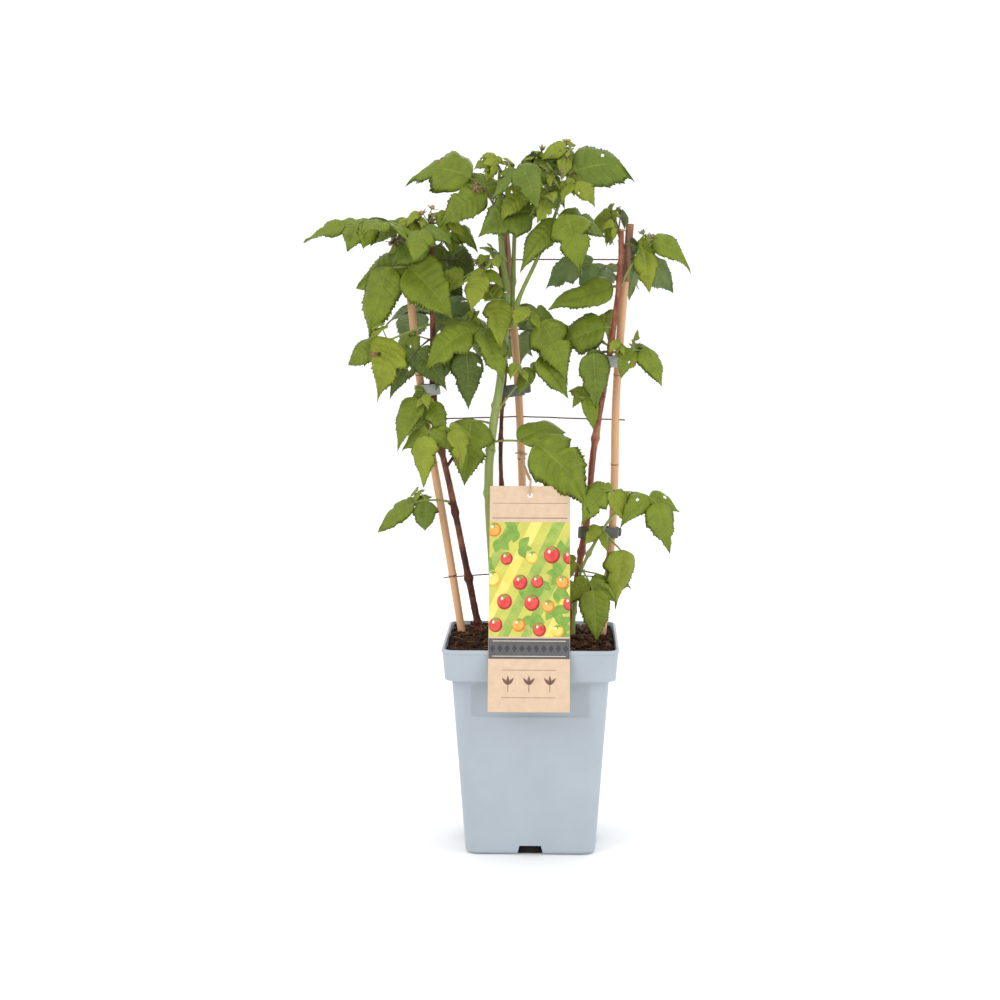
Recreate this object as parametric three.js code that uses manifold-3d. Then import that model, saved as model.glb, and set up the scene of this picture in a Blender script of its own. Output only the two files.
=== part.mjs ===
// Raspberry canes on a bamboo trellis, growing in a square nursery pot.
// Millimetres, +Z up. The origin is the centre of the pot's flat underside and -Y is the front.

import * as THREE from "three";
import { mergeVertices } from "three/addons/utils/BufferGeometryUtils.js";
import Module from "manifold-3d";

const GAP = 0.3; // air between neighbouring pieces
const DEGREE = Math.PI / 180;

// Pot: a square tapered tub with a deep collar and a drain niche in the foot of each side.
const RIM_WIDTH = 170;
const RIM_HEIGHT = 206;
const LIP_DEPTH = 3.5;
const LIP_PROUD = 0.5;
const COLLAR_DEPTH = 30;
const COLLAR_FOOT_WIDTH = 165;
const SHOULDER_WIDTH = 152;
const SHOULDER_DEPTH = 2.5;
const BASE_WIDTH = 127;
const CORNER_RADIUS = 13;
const BASE_ROUND = 4.5;
const BASE_CHAMFER = 0.3; // the share of that rounding taken by its lower step
const WALL = 2.2;
const FLOOR = 3;
const NICHE = { bottom: 26.6, top: 21, height: 9, depth: 11, wall: 1.8 };

// Compost, nearly level with the rim, with a mound at the foot of the left cane.
const COMPOST_LEVEL = 203.5;
const COMPOST_EDGE = 202;
const COMPOST_RINGS = [0.92, 0.72, 0.5, 0.26]; // each ring of the surface as a share of its edge
const LUMPS = { height: 1.5, lengthX: 43, lengthY: 49, shiftX: 7, shiftY: -5 };
const MOUND = { x: -52, y: 8, height: 3.2, spread: 30 };
const SOCKET_GAP = 0.4; // air round a rod or cane where it stands in the compost

// Trellis: three bamboo rods with three wires threaded through them.
const BAMBOO_RADIUS = 4;
const BAMBOO_NODE_SPACING = 118;
const BAMBOO_NODE_BULGE = 0.5;
const WIRE_RADIUS = 0.65;
const WIRE_OVERHANG = 10;
const WIRE_HEIGHTS = { wire_low: 261, wire_middle: 420, wire_top: 578 };

// Each rod runs from just above the pot's floor to its sawn top.
const RODS = {
  bamboo_left: [[-40, 25, 13], [-84, 23, 290], [-111, 21, 455], [-127, 20, 608]],
  bamboo_middle: [[4, 50, 13], [-8, 62, 290], [-15, 60, 455], [-28, 57, 610]],
  bamboo_right: [[50, 25, 13], [79, 23, 290], [84, 21, 455], [96, 20, 613]],
};

// Canes and their forks: a few bends each, the radius at the foot and at the tip.
const CANES = {
  cane_left: {
    bends: [[-51, 21, 196], [-62, 18, 254], [-80, 12, 346], [-96, 7, 432], [-98, 8, 545], [-100, 10, 622]],
    radii: [3.5, 2.4],
  },
  cane_green: {
    bends: [[-34, 32, 196], [-43, 22, 340], [-40, 18, 402], [-30, 15, 470], [-25, 15, 545]],
    radii: [4.6, 3.9],
  },
  cane_back: {
    bends: [[-20, 48, 196], [-31, 43, 352], [-31, 44, 420], [-27, 44, 480], [-33, 40, 585]],
    radii: [2.4, 1.6],
  },
  cane_right: {
    bends: [
      [37, 17, 196], [46, 11, 266], [56, 5, 330], [61, 4, 390], [77, 4, 490], [86, 5, 563], [87, 6, 606],
    ],
    radii: [3.4, 2.7],
  },
  green_shoot: {
    bends: [[41, 5, 196], [44, 2, 249], [53, -3, 281], [74, -8, 319], [96, -12, 349]],
    radii: [1.9, 1.2],
  },
  fork_left: {
    bends: [[-25, 15, 546.5], [-30, 14, 587], [-33, 10, 631], [-32, 8, 664]],
    radii: [3.3, 1.5],
  },
  fork_right: {
    bends: [[-20, 22.5, 531], [-19, 26, 560], [-17, 25, 612], [-11, 20, 650], [-8, 16, 668]],
    radii: [2.6, 1.4],
  },
  side_shoot: {
    bends: [[-21, 9, 512], [-12, 4, 542], [8, 0, 585], [22, -1, 620], [37, -2, 664]],
    radii: [2.3, 1.3],
  },
};
const CANE_NODE_SPACING = 62;
const CANE_NODE_BULGE = 0.7;
const CANE_SIDES = 6;
const BAMBOO_SIDES = 8;

// Plastic bands that tie a cane to its rod: the two limbs, the height and the free end's length.
const TIE_HEIGHT = 11;
const TIE_TAIL_HEIGHT = 8.8;
const TIE_THICKNESS = 1;
const TIE_INNER_RADIUS = 5.6;
const TIES = {
  tie_left: { rod: "bamboo_left", cane: "cane_left", height: 449, tail: 3 },
  tie_middle: { rod: "bamboo_middle", cane: "cane_back", height: 447, tail: 10 },
  tie_right_low: { rod: "bamboo_right", cane: "cane_right", height: 307, tail: 4 },
  tie_right_high: { rod: "bamboo_right", cane: "cane_right", height: 478, tail: 5 },
};

// Card label that leans over the rim, and the wire ring through its hole.
const LABEL = { width: 78, length: 221, thickness: 0.9, clip: 6, hole: 2.6, holeInset: 9 };
const LABEL_LEAN = 20 * DEGREE;
const LABEL_X = -1;
const LABEL_FOOT_Z = 151;
const LABEL_CLEARANCE = 0.7; // air between the card and the pot's rim
const RING = { radius: 9, wire: 0.7 };

// Stems, blades and buds that every mass of leaves is made of.
const STEM_RADII = [1.5, 1.1];
const STEM_SIDES = 3;
const STALK_RADII = [1.1, 0.9];
const STEM_ROOT = 0.6; // a stem starts this share of its limb's radius out, then is cut clear of it
const BLADE_THICKNESS = 1.1;
const BLADE_WIDTH = 0.82; // of its length
const BLADE_ROWS = [[0, 0.1], [0.2, 0.86], [0.62, 0.76]]; // [place along it, share of its width]
const BLADE_FOLD = 0.32; // rise of an edge above the midrib for each unit of half width
const BLADE_ROOT = 2; // how far a blade's base sinks into its stalk
const BUD = { stalk: 9, places: [0, 0.55, 0.8, 1], radii: [0.6, 0.6, 2.4, 0.5] };

// Play in the rule, drawn from a seed of its own for each mass.
const SEED = { first: 4001, step: 977 };
const FACE_SCATTER = 22;
const SPLAY_SCATTER = 14;
const SIDE_SCATTER = 0.16; // of a side leaflet's length
const SIDE_STEP = 0.33; // from one pair of side leaflets to the next, in end leaflet lengths
const SIDE_TWIST = 14; // how far a side leaflet turns its face away from the end leaflet's
const BUD_PLAY = { first: 0.55, span: 0.4, swing: 300, rise: 50, least: 0.8, stretch: 0.5 };
// Where a stem bears its leaves when it has several, and how long their stalks are.
const LEAF_SET = { first: 0.35, root: 0.97, scatter: 20, stalk: 0.6, lastStalk: 0.45, scale: 0.85 };
const STEM_STEPS = 4;
const STALK_STEPS = 2;

// Foliage. One row is one mass: a shoot that leaves its limb at height z, with a heading in plan
// (0 is +X, -90 is the front), a rise, a length called reach, a bend of its pitch and a turn of
// its heading by the tip. It bears compound leaves of 1, 3 or 5 leaflets. Size is the end
// leaflet's length, drop its dip below its stalk, hang the sag of its tip for each unit of
// length, face the way its upper side looks and tilt how far that side looks up.
const SHOOT_DEFAULTS = {
  turn: 0, bend: -20, leaves: 1, swing: 60, leaflets: 3, side: 0.8, splay: 70, drop: 10, hang: 0.25,
  face: -90, tilt: 30, buds: 0,
};
const SHOOTS = {
  left_far: {
    limb: "cane_left", z: 602, heading: 183, rise: 20, reach: 40, bend: -14, leaves: 2, leaflets: 5,
    size: 42, drop: 2, hang: 0.15, tilt: 55,
  },
  left_top: {
    limb: "cane_left", z: 608, heading: -100, rise: 20, reach: 14, leaves: 2, swing: -80, size: 36,
    drop: 15, buds: 2,
  },
  left_shade: {
    limb: "cane_left", z: 590, heading: 75, rise: 12, reach: 30, leaves: 2, size: 48, drop: 70,
  },
  left_mid_out: {
    limb: "cane_left", z: 566, heading: 184, rise: 20, reach: 22, bend: -30, size: 60, side: 0.95,
    drop: 60,
  },
  left_dark: {
    limb: "cane_left", z: 588, heading: 222, rise: 38, reach: 10, leaflets: 1, size: 42, drop: 26,
  },
  left_low_out: {
    limb: "cane_left", z: 515, heading: 208, rise: -16, reach: 44, bend: -6, size: 38, side: 1.5,
    splay: 52, drop: -8,
  },
  centre_bright: {
    limb: "cane_green", z: 508, heading: 210, rise: 10, reach: 20, size: 54, side: 0.9, drop: 10,
  },
  left_behind: {
    limb: "cane_left", z: 500, heading: 240, rise: 0, reach: 8, leaves: 2, swing: 100, size: 48,
    side: 0.8, splay: 45, drop: 60,
  },
  left_down: {
    limb: "cane_left", z: 434, heading: 216, rise: 30, reach: 8, size: 40, drop: 65, hang: 0.3,
  },
  left_foot: {
    limb: "cane_left", z: 415, heading: 255, rise: 10, reach: 8, leaves: 2, size: 36, drop: 50,
  },
  left_lowest: {
    limb: "cane_left", z: 338, heading: 188, rise: 14, reach: 26, bend: -30, size: 40, side: 0.85,
    drop: 8, tilt: 50,
  },
  crown_left: {
    limb: "fork_left", z: 617, heading: 170, rise: 80, reach: 28, bend: -50, size: 72, side: 0.72,
    splay: 50, drop: 8, hang: 0.3, tilt: 55,
  },
  crown_dark: {
    limb: "side_shoot", z: 607, heading: 206, rise: 55, reach: 26, bend: -30, leaflets: 1, size: 58,
    drop: 30,
  },
  crown_small: {
    limb: "fork_left", z: 654, heading: -60, rise: 35, reach: 18, leaves: 3, swing: 170, size: 40,
    drop: 35,
  },
  crown_trio: {
    limb: "side_shoot", z: 608, heading: -62, rise: 30, reach: 18, size: 52, side: 0.9, drop: 60,
  },
  crown_right: {
    limb: "side_shoot", z: 656, heading: -6, rise: 55, reach: 10, leaflets: 1, size: 66, drop: 12,
    hang: 0.35,
  },
  crown_peak: {
    limb: "side_shoot", z: 660, heading: 178, rise: 88, reach: 17, bend: -10, size: 26, drop: 80,
    buds: 3,
  },
  crown_middle: {
    limb: "fork_right", z: 662, heading: 20, rise: 40, reach: 24, leaves: 3, size: 34, drop: 60,
    buds: 2,
  },
  crown_inner: {
    limb: "side_shoot", z: 648, heading: 200, rise: 20, reach: 16, leaves: 3, swing: 110, size: 34,
    drop: 20,
  },
  centre_big: {
    limb: "cane_green", z: 430, heading: -18, rise: 52, reach: 54, bend: -5, size: 42, side: 0.6,
    drop: 90,
  },
  centre_upper: {
    limb: "side_shoot", z: 521, heading: -18, rise: 0, reach: 12, size: 50, side: 0.7, drop: 35,
  },
  centre_left_high: {
    limb: "cane_green", z: 538, heading: -110, turn: -60, rise: 10, reach: 12, size: 48, drop: 15,
  },
  centre_buds: {
    limb: "fork_left", z: 575, heading: 186, rise: -5, reach: 24, leaves: 2, size: 38, drop: 10,
    buds: 5,
  },
  centre_round: {
    limb: "cane_green", z: 416, heading: 190, rise: 20, reach: 20, leaflets: 1, size: 54, drop: 82,
    hang: 0.1,
  },
  centre_low: {
    limb: "cane_green", z: 398, heading: -34, rise: 10, reach: 30, size: 70, drop: 14, hang: 0.3,
  },
  right_inner: {
    limb: "cane_right", z: 552, heading: 186, rise: 0, reach: 6, leaflets: 1, size: 66, drop: -8,
    hang: 0.1, tilt: 60,
  },
  right_mid_in: {
    limb: "cane_right", z: 512, heading: 170, rise: 8, reach: 9, leaflets: 1, size: 56, drop: 0,
  },
  right_mid_left: {
    limb: "cane_right", z: 488, heading: 225, rise: 5, reach: 8, size: 42, splay: 45, drop: 80,
  },
  right_reach: { limb: "cane_right", z: 440, heading: 200, rise: 20, reach: 12, size: 34, drop: 30 },
  right_top: {
    limb: "cane_right", z: 592, heading: 110, rise: 75, reach: 22, leaves: 3, swing: 25, size: 30,
    drop: 60,
  },
  right_far: {
    limb: "cane_right", z: 552, heading: 6, rise: 68, reach: 42, bend: -30, size: 40, drop: 52,
    hang: 0.35,
  },
  right_mid: {
    limb: "cane_right", z: 487, heading: -30, rise: 15, reach: 24, size: 33, drop: 40, buds: 2,
  },
  shoot_top: {
    limb: "green_shoot", z: 347, heading: -50, rise: 40, reach: 14, bend: -38, leaves: 2,
    swing: -100, size: 40, drop: 24,
  },
  shoot_low: {
    limb: "green_shoot", z: 308, heading: -20, rise: -20, reach: 28, bend: -30, leaflets: 1,
    size: 42, drop: 50,
  },
  foot_right: {
    limb: "green_shoot", z: 272, heading: -70, rise: 0, reach: 6, leaves: 2, size: 40, drop: 35,
  },
  back_left: {
    limb: "cane_left", z: 530, heading: 108, rise: 15, reach: 40, leaves: 3, size: 44, face: 90,
  },
  back_centre: {
    limb: "cane_back", z: 500, heading: 94, rise: 20, reach: 46, leaves: 3, size: 46, face: 90,
  },
  back_right: {
    limb: "cane_right", z: 566, heading: 100, rise: 20, reach: 46, leaves: 3, size: 44, face: 90,
  },
};

const wasm = await Module();
wasm.setup();

// ---- small helpers -------------------------------------------------------------------------

function vector(point) {
  return new THREE.Vector3(...point);
}

function seeded(seed) {
  let state = seed;
  return () => {
    state = (state * 48271) % 2147483647;
    return state / 2147483647;
  };
}

function directionOf(yaw, pitch) {
  return new THREE.Vector3(
    Math.cos(pitch * DEGREE) * Math.cos(yaw * DEGREE),
    Math.cos(pitch * DEGREE) * Math.sin(yaw * DEGREE),
    Math.sin(pitch * DEGREE),
  );
}

function geometryFrom(points, faces) {
  const geometry = new THREE.BufferGeometry();
  const places = points.flatMap((point) => [point.x, point.y, point.z]);
  geometry.setAttribute("position", new THREE.Float32BufferAttribute(places, 3));
  geometry.setIndex(faces.flat());
  return geometry;
}

function toSolid(geometry) {
  const bare = geometry.clone();
  bare.deleteAttribute("normal");
  bare.deleteAttribute("uv");
  const merged = mergeVertices(bare, 1e-3);
  return new wasm.Manifold(
    new wasm.Mesh({
      numProp: 3,
      vertProperties: new Float32Array(merged.attributes.position.array),
      triVerts: new Uint32Array(merged.index.array),
    }),
  );
}

function toGeometry(solid) {
  const mesh = solid.getMesh();
  const geometry = new THREE.BufferGeometry();
  geometry.setAttribute("position", new THREE.BufferAttribute(new Float32Array(mesh.vertProperties), 3));
  geometry.setIndex(new THREE.BufferAttribute(new Uint32Array(mesh.triVerts), 1));
  geometry.computeVertexNormals();
  return geometry;
}

// Joins rings of equal count into one closed skin, with a flat fan over each end ring.
function loft(rings) {
  const count = rings[0].length;
  const points = rings.flat();
  const faces = [];
  for (let ring = 0; ring + 1 < rings.length; ring += 1) {
    for (let i = 0; i < count; i += 1) {
      const a = ring * count + i;
      const b = ring * count + ((i + 1) % count);
      faces.push([a, b, b + count], [a, b + count, a + count]);
    }
  }
  for (const [ring, flip] of [[0, true], [rings.length - 1, false]]) {
    const first = ring * count;
    for (let i = 1; i + 1 < count; i += 1) {
      faces.push(flip ? [first, first + i + 1, first + i] : [first, first + i, first + i + 1]);
    }
  }
  return geometryFrom(points, faces);
}

// ---- pot and compost -----------------------------------------------------------------------

function squareRing(width, radius, z, steps = 3) {
  const ring = [];
  const inset = width / 2 - radius;
  for (const [signX, signY, start] of [[1, 1, 0], [-1, 1, 90], [-1, -1, 180], [1, -1, 270]]) {
    for (let i = 0; i <= steps; i += 1) {
      const angle = (start + (90 * i) / steps) * DEGREE;
      const x = signX * inset + radius * Math.cos(angle);
      const y = signY * inset + radius * Math.sin(angle);
      ring.push(new THREE.Vector3(x, y, z));
    }
  }
  return ring;
}

const SHOULDER_Z = RIM_HEIGHT - COLLAR_DEPTH - SHOULDER_DEPTH;

function bodyWidth(z) {
  return BASE_WIDTH + ((SHOULDER_WIDTH - BASE_WIDTH) * z) / SHOULDER_Z;
}

function collarWidth(z) {
  const climb = (z - (RIM_HEIGHT - COLLAR_DEPTH)) / COLLAR_DEPTH;
  return COLLAR_FOOT_WIDTH + (RIM_WIDTH - COLLAR_FOOT_WIDTH) * climb;
}

// The cavity, drawn in by an amount: by 0 it is the pot's inside, by GAP it is the compost's side.
function cavityRings(drawIn, topZ) {
  const inner = (width) => width - 2 * (WALL + drawIn);
  const radius = CORNER_RADIUS - WALL - drawIn;
  const shoulderTop = RIM_HEIGHT - COLLAR_DEPTH;
  return [
    squareRing(inner(bodyWidth(FLOOR)), radius, FLOOR + drawIn),
    squareRing(inner(SHOULDER_WIDTH), radius, SHOULDER_Z + drawIn),
    squareRing(inner(COLLAR_FOOT_WIDTH), radius, shoulderTop + WALL + drawIn),
    squareRing(inner(collarWidth(topZ)), radius, topZ),
  ];
}

// A wedge-sided block at the middle of one side's foot, facing out along -Y before it is turned.
function nicheBlock(grow, rise) {
  const shape = new THREE.Shape();
  const foot = NICHE.bottom / 2 + grow;
  const head = NICHE.top / 2 + grow;
  shape.moveTo(-foot, -rise);
  shape.lineTo(foot, -rise);
  shape.lineTo(head, NICHE.height + grow);
  shape.lineTo(-head, NICHE.height + grow);
  const block = new THREE.ExtrudeGeometry(shape, { depth: NICHE.depth + grow, bevelEnabled: false });
  block.rotateX(90 * DEGREE);
  return block;
}

function onEachSide(geometry, offset) {
  const solids = [];
  for (let side = 0; side < 4; side += 1) {
    const turned = geometry.clone().translate(0, offset, 0);
    solids.push(toSolid(turned.rotateZ(side * 90 * DEGREE)));
  }
  return solids;
}

function makePot() {
  const top = RIM_HEIGHT - LIP_DEPTH;
  const chamfer = BASE_CHAMFER * BASE_ROUND;
  const outer = [
    squareRing(BASE_WIDTH - 2 * BASE_ROUND, CORNER_RADIUS - BASE_ROUND, 0),
    squareRing(BASE_WIDTH - 2 * chamfer, CORNER_RADIUS - chamfer, chamfer),
    squareRing(bodyWidth(BASE_ROUND), CORNER_RADIUS, BASE_ROUND),
    squareRing(SHOULDER_WIDTH, CORNER_RADIUS, SHOULDER_Z),
    squareRing(COLLAR_FOOT_WIDTH, CORNER_RADIUS, RIM_HEIGHT - COLLAR_DEPTH),
    squareRing(collarWidth(top), CORNER_RADIUS, top),
    squareRing(RIM_WIDTH + 2 * LIP_PROUD, CORNER_RADIUS, top + LIP_PROUD),
    squareRing(RIM_WIDTH + 2 * LIP_PROUD, CORNER_RADIUS, RIM_HEIGHT - LIP_PROUD),
    squareRing(RIM_WIDTH, CORNER_RADIUS, RIM_HEIGHT),
  ];
  let pot = toSolid(loft([...outer, ...cavityRings(0, RIM_HEIGHT).reverse()]));
  const inward = -BASE_WIDTH / 2 + NICHE.depth;
  for (const block of onEachSide(nicheBlock(NICHE.wall, -1), inward + NICHE.wall)) {
    pot = pot.add(block);
  }
  for (const cut of onEachSide(nicheBlock(0, 1), inward)) {
    pot = pot.subtract(cut);
  }
  return pot;
}

function compostHeight(x, y) {
  const waveX = Math.sin((2 * Math.PI * (x + LUMPS.shiftX)) / LUMPS.lengthX);
  const waveY = Math.cos((2 * Math.PI * (y + LUMPS.shiftY)) / LUMPS.lengthY);
  const dx = (x - MOUND.x) / MOUND.spread;
  const dy = (y - MOUND.y) / MOUND.spread;
  return COMPOST_LEVEL + LUMPS.height * waveX * waveY + MOUND.height * Math.exp(-dx * dx - dy * dy);
}

function makeCompost(sockets) {
  const rings = cavityRings(GAP, COMPOST_EDGE);
  const edgeWidth = collarWidth(COMPOST_EDGE) - 2 * (WALL + GAP);
  for (const share of COMPOST_RINGS) {
    const ring = squareRing(edgeWidth * share, CORNER_RADIUS * share, 0);
    rings.push(ring.map((p) => new THREE.Vector3(p.x, p.y, compostHeight(p.x, p.y))));
  }
  let compost = toSolid(loft(rings));
  const inward = -BASE_WIDTH / 2 + NICHE.depth + NICHE.wall;
  for (const block of onEachSide(nicheBlock(NICHE.wall + GAP, 0), inward + GAP)) {
    compost = compost.subtract(block);
  }
  for (const socket of sockets) {
    compost = compost.subtract(socket);
  }
  return compost;
}

// ---- limbs ---------------------------------------------------------------------------------

// A limb is a smooth path through its bends, with a radius that runs evenly from foot to tip.
class Limb {
  constructor(bends, radii, nodes) {
    this.path = new THREE.CatmullRomCurve3(bends.map(vector), false, "catmullrom", 0.5);
    this.radii = radii;
    this.nodes = nodes;
  }

  point(t) {
    return this.path.getPoint(t);
  }

  radius(t) {
    return this.radii[0] + (this.radii[1] - this.radii[0]) * t;
  }

  // Where the limb passes a height; every limb climbs all the way.
  atHeight(z) {
    let low = 0;
    let high = 1;
    for (let i = 0; i < 30; i += 1) {
      const middle = (low + high) / 2;
      if (this.point(middle).z < z) {
        low = middle;
      } else {
        high = middle;
      }
    }
    return low;
  }

  // Stations along the limb as [t, radius]: both ends and three at each swollen node.
  stations() {
    const { spacing, bulge, half } = this.nodes;
    const length = this.path.getLength();
    const count = Math.floor(length / spacing);
    const list = [[0, this.radius(0)]];
    for (let i = 1; i <= count; i += 1) {
      const middle = (i * spacing - spacing / 2) / length;
      const reach = half / length;
      list.push([middle - reach, this.radius(middle)]);
      list.push([middle, this.radius(middle) + bulge]);
      list.push([middle + reach, this.radius(middle)]);
    }
    list.push([1, this.radius(1)]);
    return list;
  }

  solid(sides, grow = 0) {
    const points = [];
    const radii = [];
    for (const [t, radius] of this.stations()) {
      points.push(this.point(t));
      radii.push(radius + grow);
    }
    return toSolid(tube(points, radii, sides));
  }
}

// A tapering tube: each ring is square to the path there, carried on from the ring before.
function tube(points, radii, sides) {
  const rings = [];
  let side = new THREE.Vector3();
  for (let i = 0; i < points.length; i += 1) {
    const before = points[Math.max(i - 1, 0)];
    const after = points[Math.min(i + 1, points.length - 1)];
    const along = after.clone().sub(before).normalize();
    if (i === 0) {
      side = Math.abs(along.z) > 0.8 ? new THREE.Vector3(1, 0, 0) : new THREE.Vector3(0, 0, 1);
    }
    side = side.clone().addScaledVector(along, -side.dot(along)).normalize();
    const other = along.clone().cross(side);
    const ring = [];
    for (let k = 0; k < sides; k += 1) {
      const angle = (2 * Math.PI * k) / sides;
      const corner = points[i].clone().addScaledVector(side, radii[i] * Math.cos(angle));
      ring.push(corner.addScaledVector(other, radii[i] * Math.sin(angle)));
    }
    rings.push(ring);
  }
  return loft(rings);
}

const BAMBOO_NODES = { spacing: BAMBOO_NODE_SPACING, bulge: BAMBOO_NODE_BULGE, half: 3 };
const CANE_NODES = { spacing: CANE_NODE_SPACING, bulge: CANE_NODE_BULGE, half: 5 };
const limbs = {};
for (const [name, bends] of Object.entries(RODS)) {
  limbs[name] = new Limb(bends, [BAMBOO_RADIUS, BAMBOO_RADIUS], BAMBOO_NODES);
}
for (const [name, cane] of Object.entries(CANES)) {
  limbs[name] = new Limb(cane.bends, cane.radii, CANE_NODES);
}

// ---- trellis wires, ties and label -----------------------------------------------------------

function wireTube(height, radius) {
  const rods = ["bamboo_left", "bamboo_middle", "bamboo_right"];
  const through = rods.map((name) => limbs[name].point(limbs[name].atHeight(height)));
  const first = through[0].clone().sub(through[1]).setLength(WIRE_OVERHANG).add(through[0]);
  const last = through[2].clone().sub(through[1]).setLength(WIRE_OVERHANG).add(through[2]);
  const points = [first, ...through, last];
  return toSolid(tube(points, points.map(() => radius), 6));
}

// A band round two limbs: two half rounds joined by straights, with a free end that sticks out.
function makeTie({ rod, cane, height, tail }) {
  const from = limbs[rod].point(limbs[rod].atHeight(height));
  const to = limbs[cane].point(limbs[cane].atHeight(height));
  const above = limbs[rod].point(limbs[rod].atHeight(height + TIE_HEIGHT));
  const span = from.distanceTo(to);
  const outerRadius = TIE_INNER_RADIUS + TIE_THICKNESS;
  const shape = new THREE.Shape();
  shape.absarc(0, 0, outerRadius, 90 * DEGREE, 270 * DEGREE, false);
  shape.absarc(span, 0, outerRadius, -90 * DEGREE, 90 * DEGREE, false);
  const hole = new THREE.Path();
  hole.absarc(0, 0, TIE_INNER_RADIUS, 90 * DEGREE, 270 * DEGREE, false);
  hole.absarc(span, 0, TIE_INNER_RADIUS, -90 * DEGREE, 90 * DEGREE, false);
  shape.holes.push(hole);
  const band = new THREE.ExtrudeGeometry(shape, {
    depth: TIE_HEIGHT,
    bevelEnabled: false,
    curveSegments: 3,
  });
  const tongue = new THREE.BoxGeometry(tail + TIE_THICKNESS, TIE_THICKNESS, TIE_TAIL_HEIGHT);
  tongue.translate(-outerRadius - tail / 2 + TIE_THICKNESS / 2, 0, TIE_HEIGHT / 2);
  const axisZ = above.sub(from).normalize();
  const axisX = to.clone().sub(from);
  axisX.addScaledVector(axisZ, -axisX.dot(axisZ)).normalize();
  const axisY = axisZ.clone().cross(axisX);
  const frame = new THREE.Matrix4().makeBasis(axisX, axisY, axisZ);
  frame.setPosition(from.clone().addScaledVector(axisZ, -TIE_HEIGHT / 2));
  return toSolid(band.applyMatrix4(frame)).add(toSolid(tongue.applyMatrix4(frame)));
}

// The card's frame: x across, y up the card, z out of its printed face.
function labelFrame() {
  const frame = new THREE.Matrix4().makeRotationX(90 * DEGREE - LABEL_LEAN);
  const backAtRim = -(RIM_WIDTH / 2 + LIP_PROUD + LABEL_CLEARANCE);
  const low = LABEL_FOOT_Z - RIM_HEIGHT;
  frame.setPosition(LABEL_X, backAtRim + low * Math.tan(LABEL_LEAN), LABEL_FOOT_Z);
  return frame;
}

function makeLabel() {
  const half = LABEL.width / 2;
  const shape = new THREE.Shape();
  shape.moveTo(-half, 0);
  shape.lineTo(half, 0);
  shape.lineTo(half, LABEL.length - LABEL.clip);
  shape.lineTo(half - LABEL.clip, LABEL.length);
  shape.lineTo(-half, LABEL.length);
  const hole = new THREE.Path();
  hole.absarc(0, LABEL.length - LABEL.holeInset, LABEL.hole, 0, 360 * DEGREE, true);
  shape.holes.push(hole);
  const card = new THREE.ExtrudeGeometry(shape, {
    depth: LABEL.thickness,
    bevelEnabled: false,
    curveSegments: 6,
  });
  return toSolid(card.applyMatrix4(labelFrame()));
}

// The ring passes through the hole and over the card's top edge.
function makeLabelRing() {
  const ring = new THREE.TorusGeometry(RING.radius, RING.wire, 4, 16);
  ring.rotateY(90 * DEGREE);
  ring.translate(0, LABEL.length - LABEL.holeInset + RING.radius, LABEL.thickness / 2);
  return toSolid(ring.applyMatrix4(labelFrame()));
}

// ---- foliage ---------------------------------------------------------------------------------

// The line of a stem: even steps from its start, its pitch and heading changing as it goes.
function sweep({ start, yaw, pitch, length, bend, turn, steps }) {
  const points = [start];
  for (let i = 0; i < steps; i += 1) {
    const s = (i + 0.5) / steps;
    const step = directionOf(yaw + turn * s, pitch + bend * s).multiplyScalar(length / steps);
    points.push(points[i].clone().add(step));
  }
  return points;
}

function alongLine(points, s) {
  const place = s * (points.length - 1);
  const index = Math.min(Math.floor(place), points.length - 2);
  return points[index].clone().lerp(points[index + 1], place - index);
}

// A compound leaf: its stalk, one leaflet at the end and pairs down the sides.
function compoundLeaf({ start, yaw, pitch, length, turn, steps, row, scale, random }) {
  const size = row.size * scale;
  const pairs = (row.leaflets - 1) / 2;
  const whole = length + pairs * SIDE_STEP * size;
  const stalk = sweep({ start, yaw, pitch, length: whole, bend: row.bend, turn, steps });
  const end = stalk[stalk.length - 1];
  const along = directionOf(yaw + turn, pitch + row.bend - row.drop);
  const scatter = FACE_SCATTER * (2 * random() - 1);
  const face = directionOf(row.face + scatter, row.tilt + FACE_SCATTER * (random() - 0.5));
  const normal = face.addScaledVector(along, -face.dot(along)).normalize();
  const root = end.clone().addScaledVector(along, -BLADE_ROOT);
  const blades = [{ base: root, along, normal, length: size, hang: row.hang }];
  for (let pair = 1; pair <= pairs; pair += 1) {
    const base = alongLine(stalk, 1 - (pair * SIDE_STEP * size) / whole);
    for (const side of [-1, 1]) {
      const angle = side * (row.splay + SPLAY_SCATTER * (random() - 0.5)) * DEGREE;
      const outward = along.clone().applyAxisAngle(normal, angle);
      const turned = normal.clone().applyAxisAngle(outward, -side * SIDE_TWIST * DEGREE);
      const sideLength = size * row.side ** pair * (1 + SIDE_SCATTER * (random() - 0.5));
      blades.push({ base, along: outward, normal: turned, length: sideLength, hang: row.hang });
    }
  }
  return { stalk, blades };
}

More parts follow.
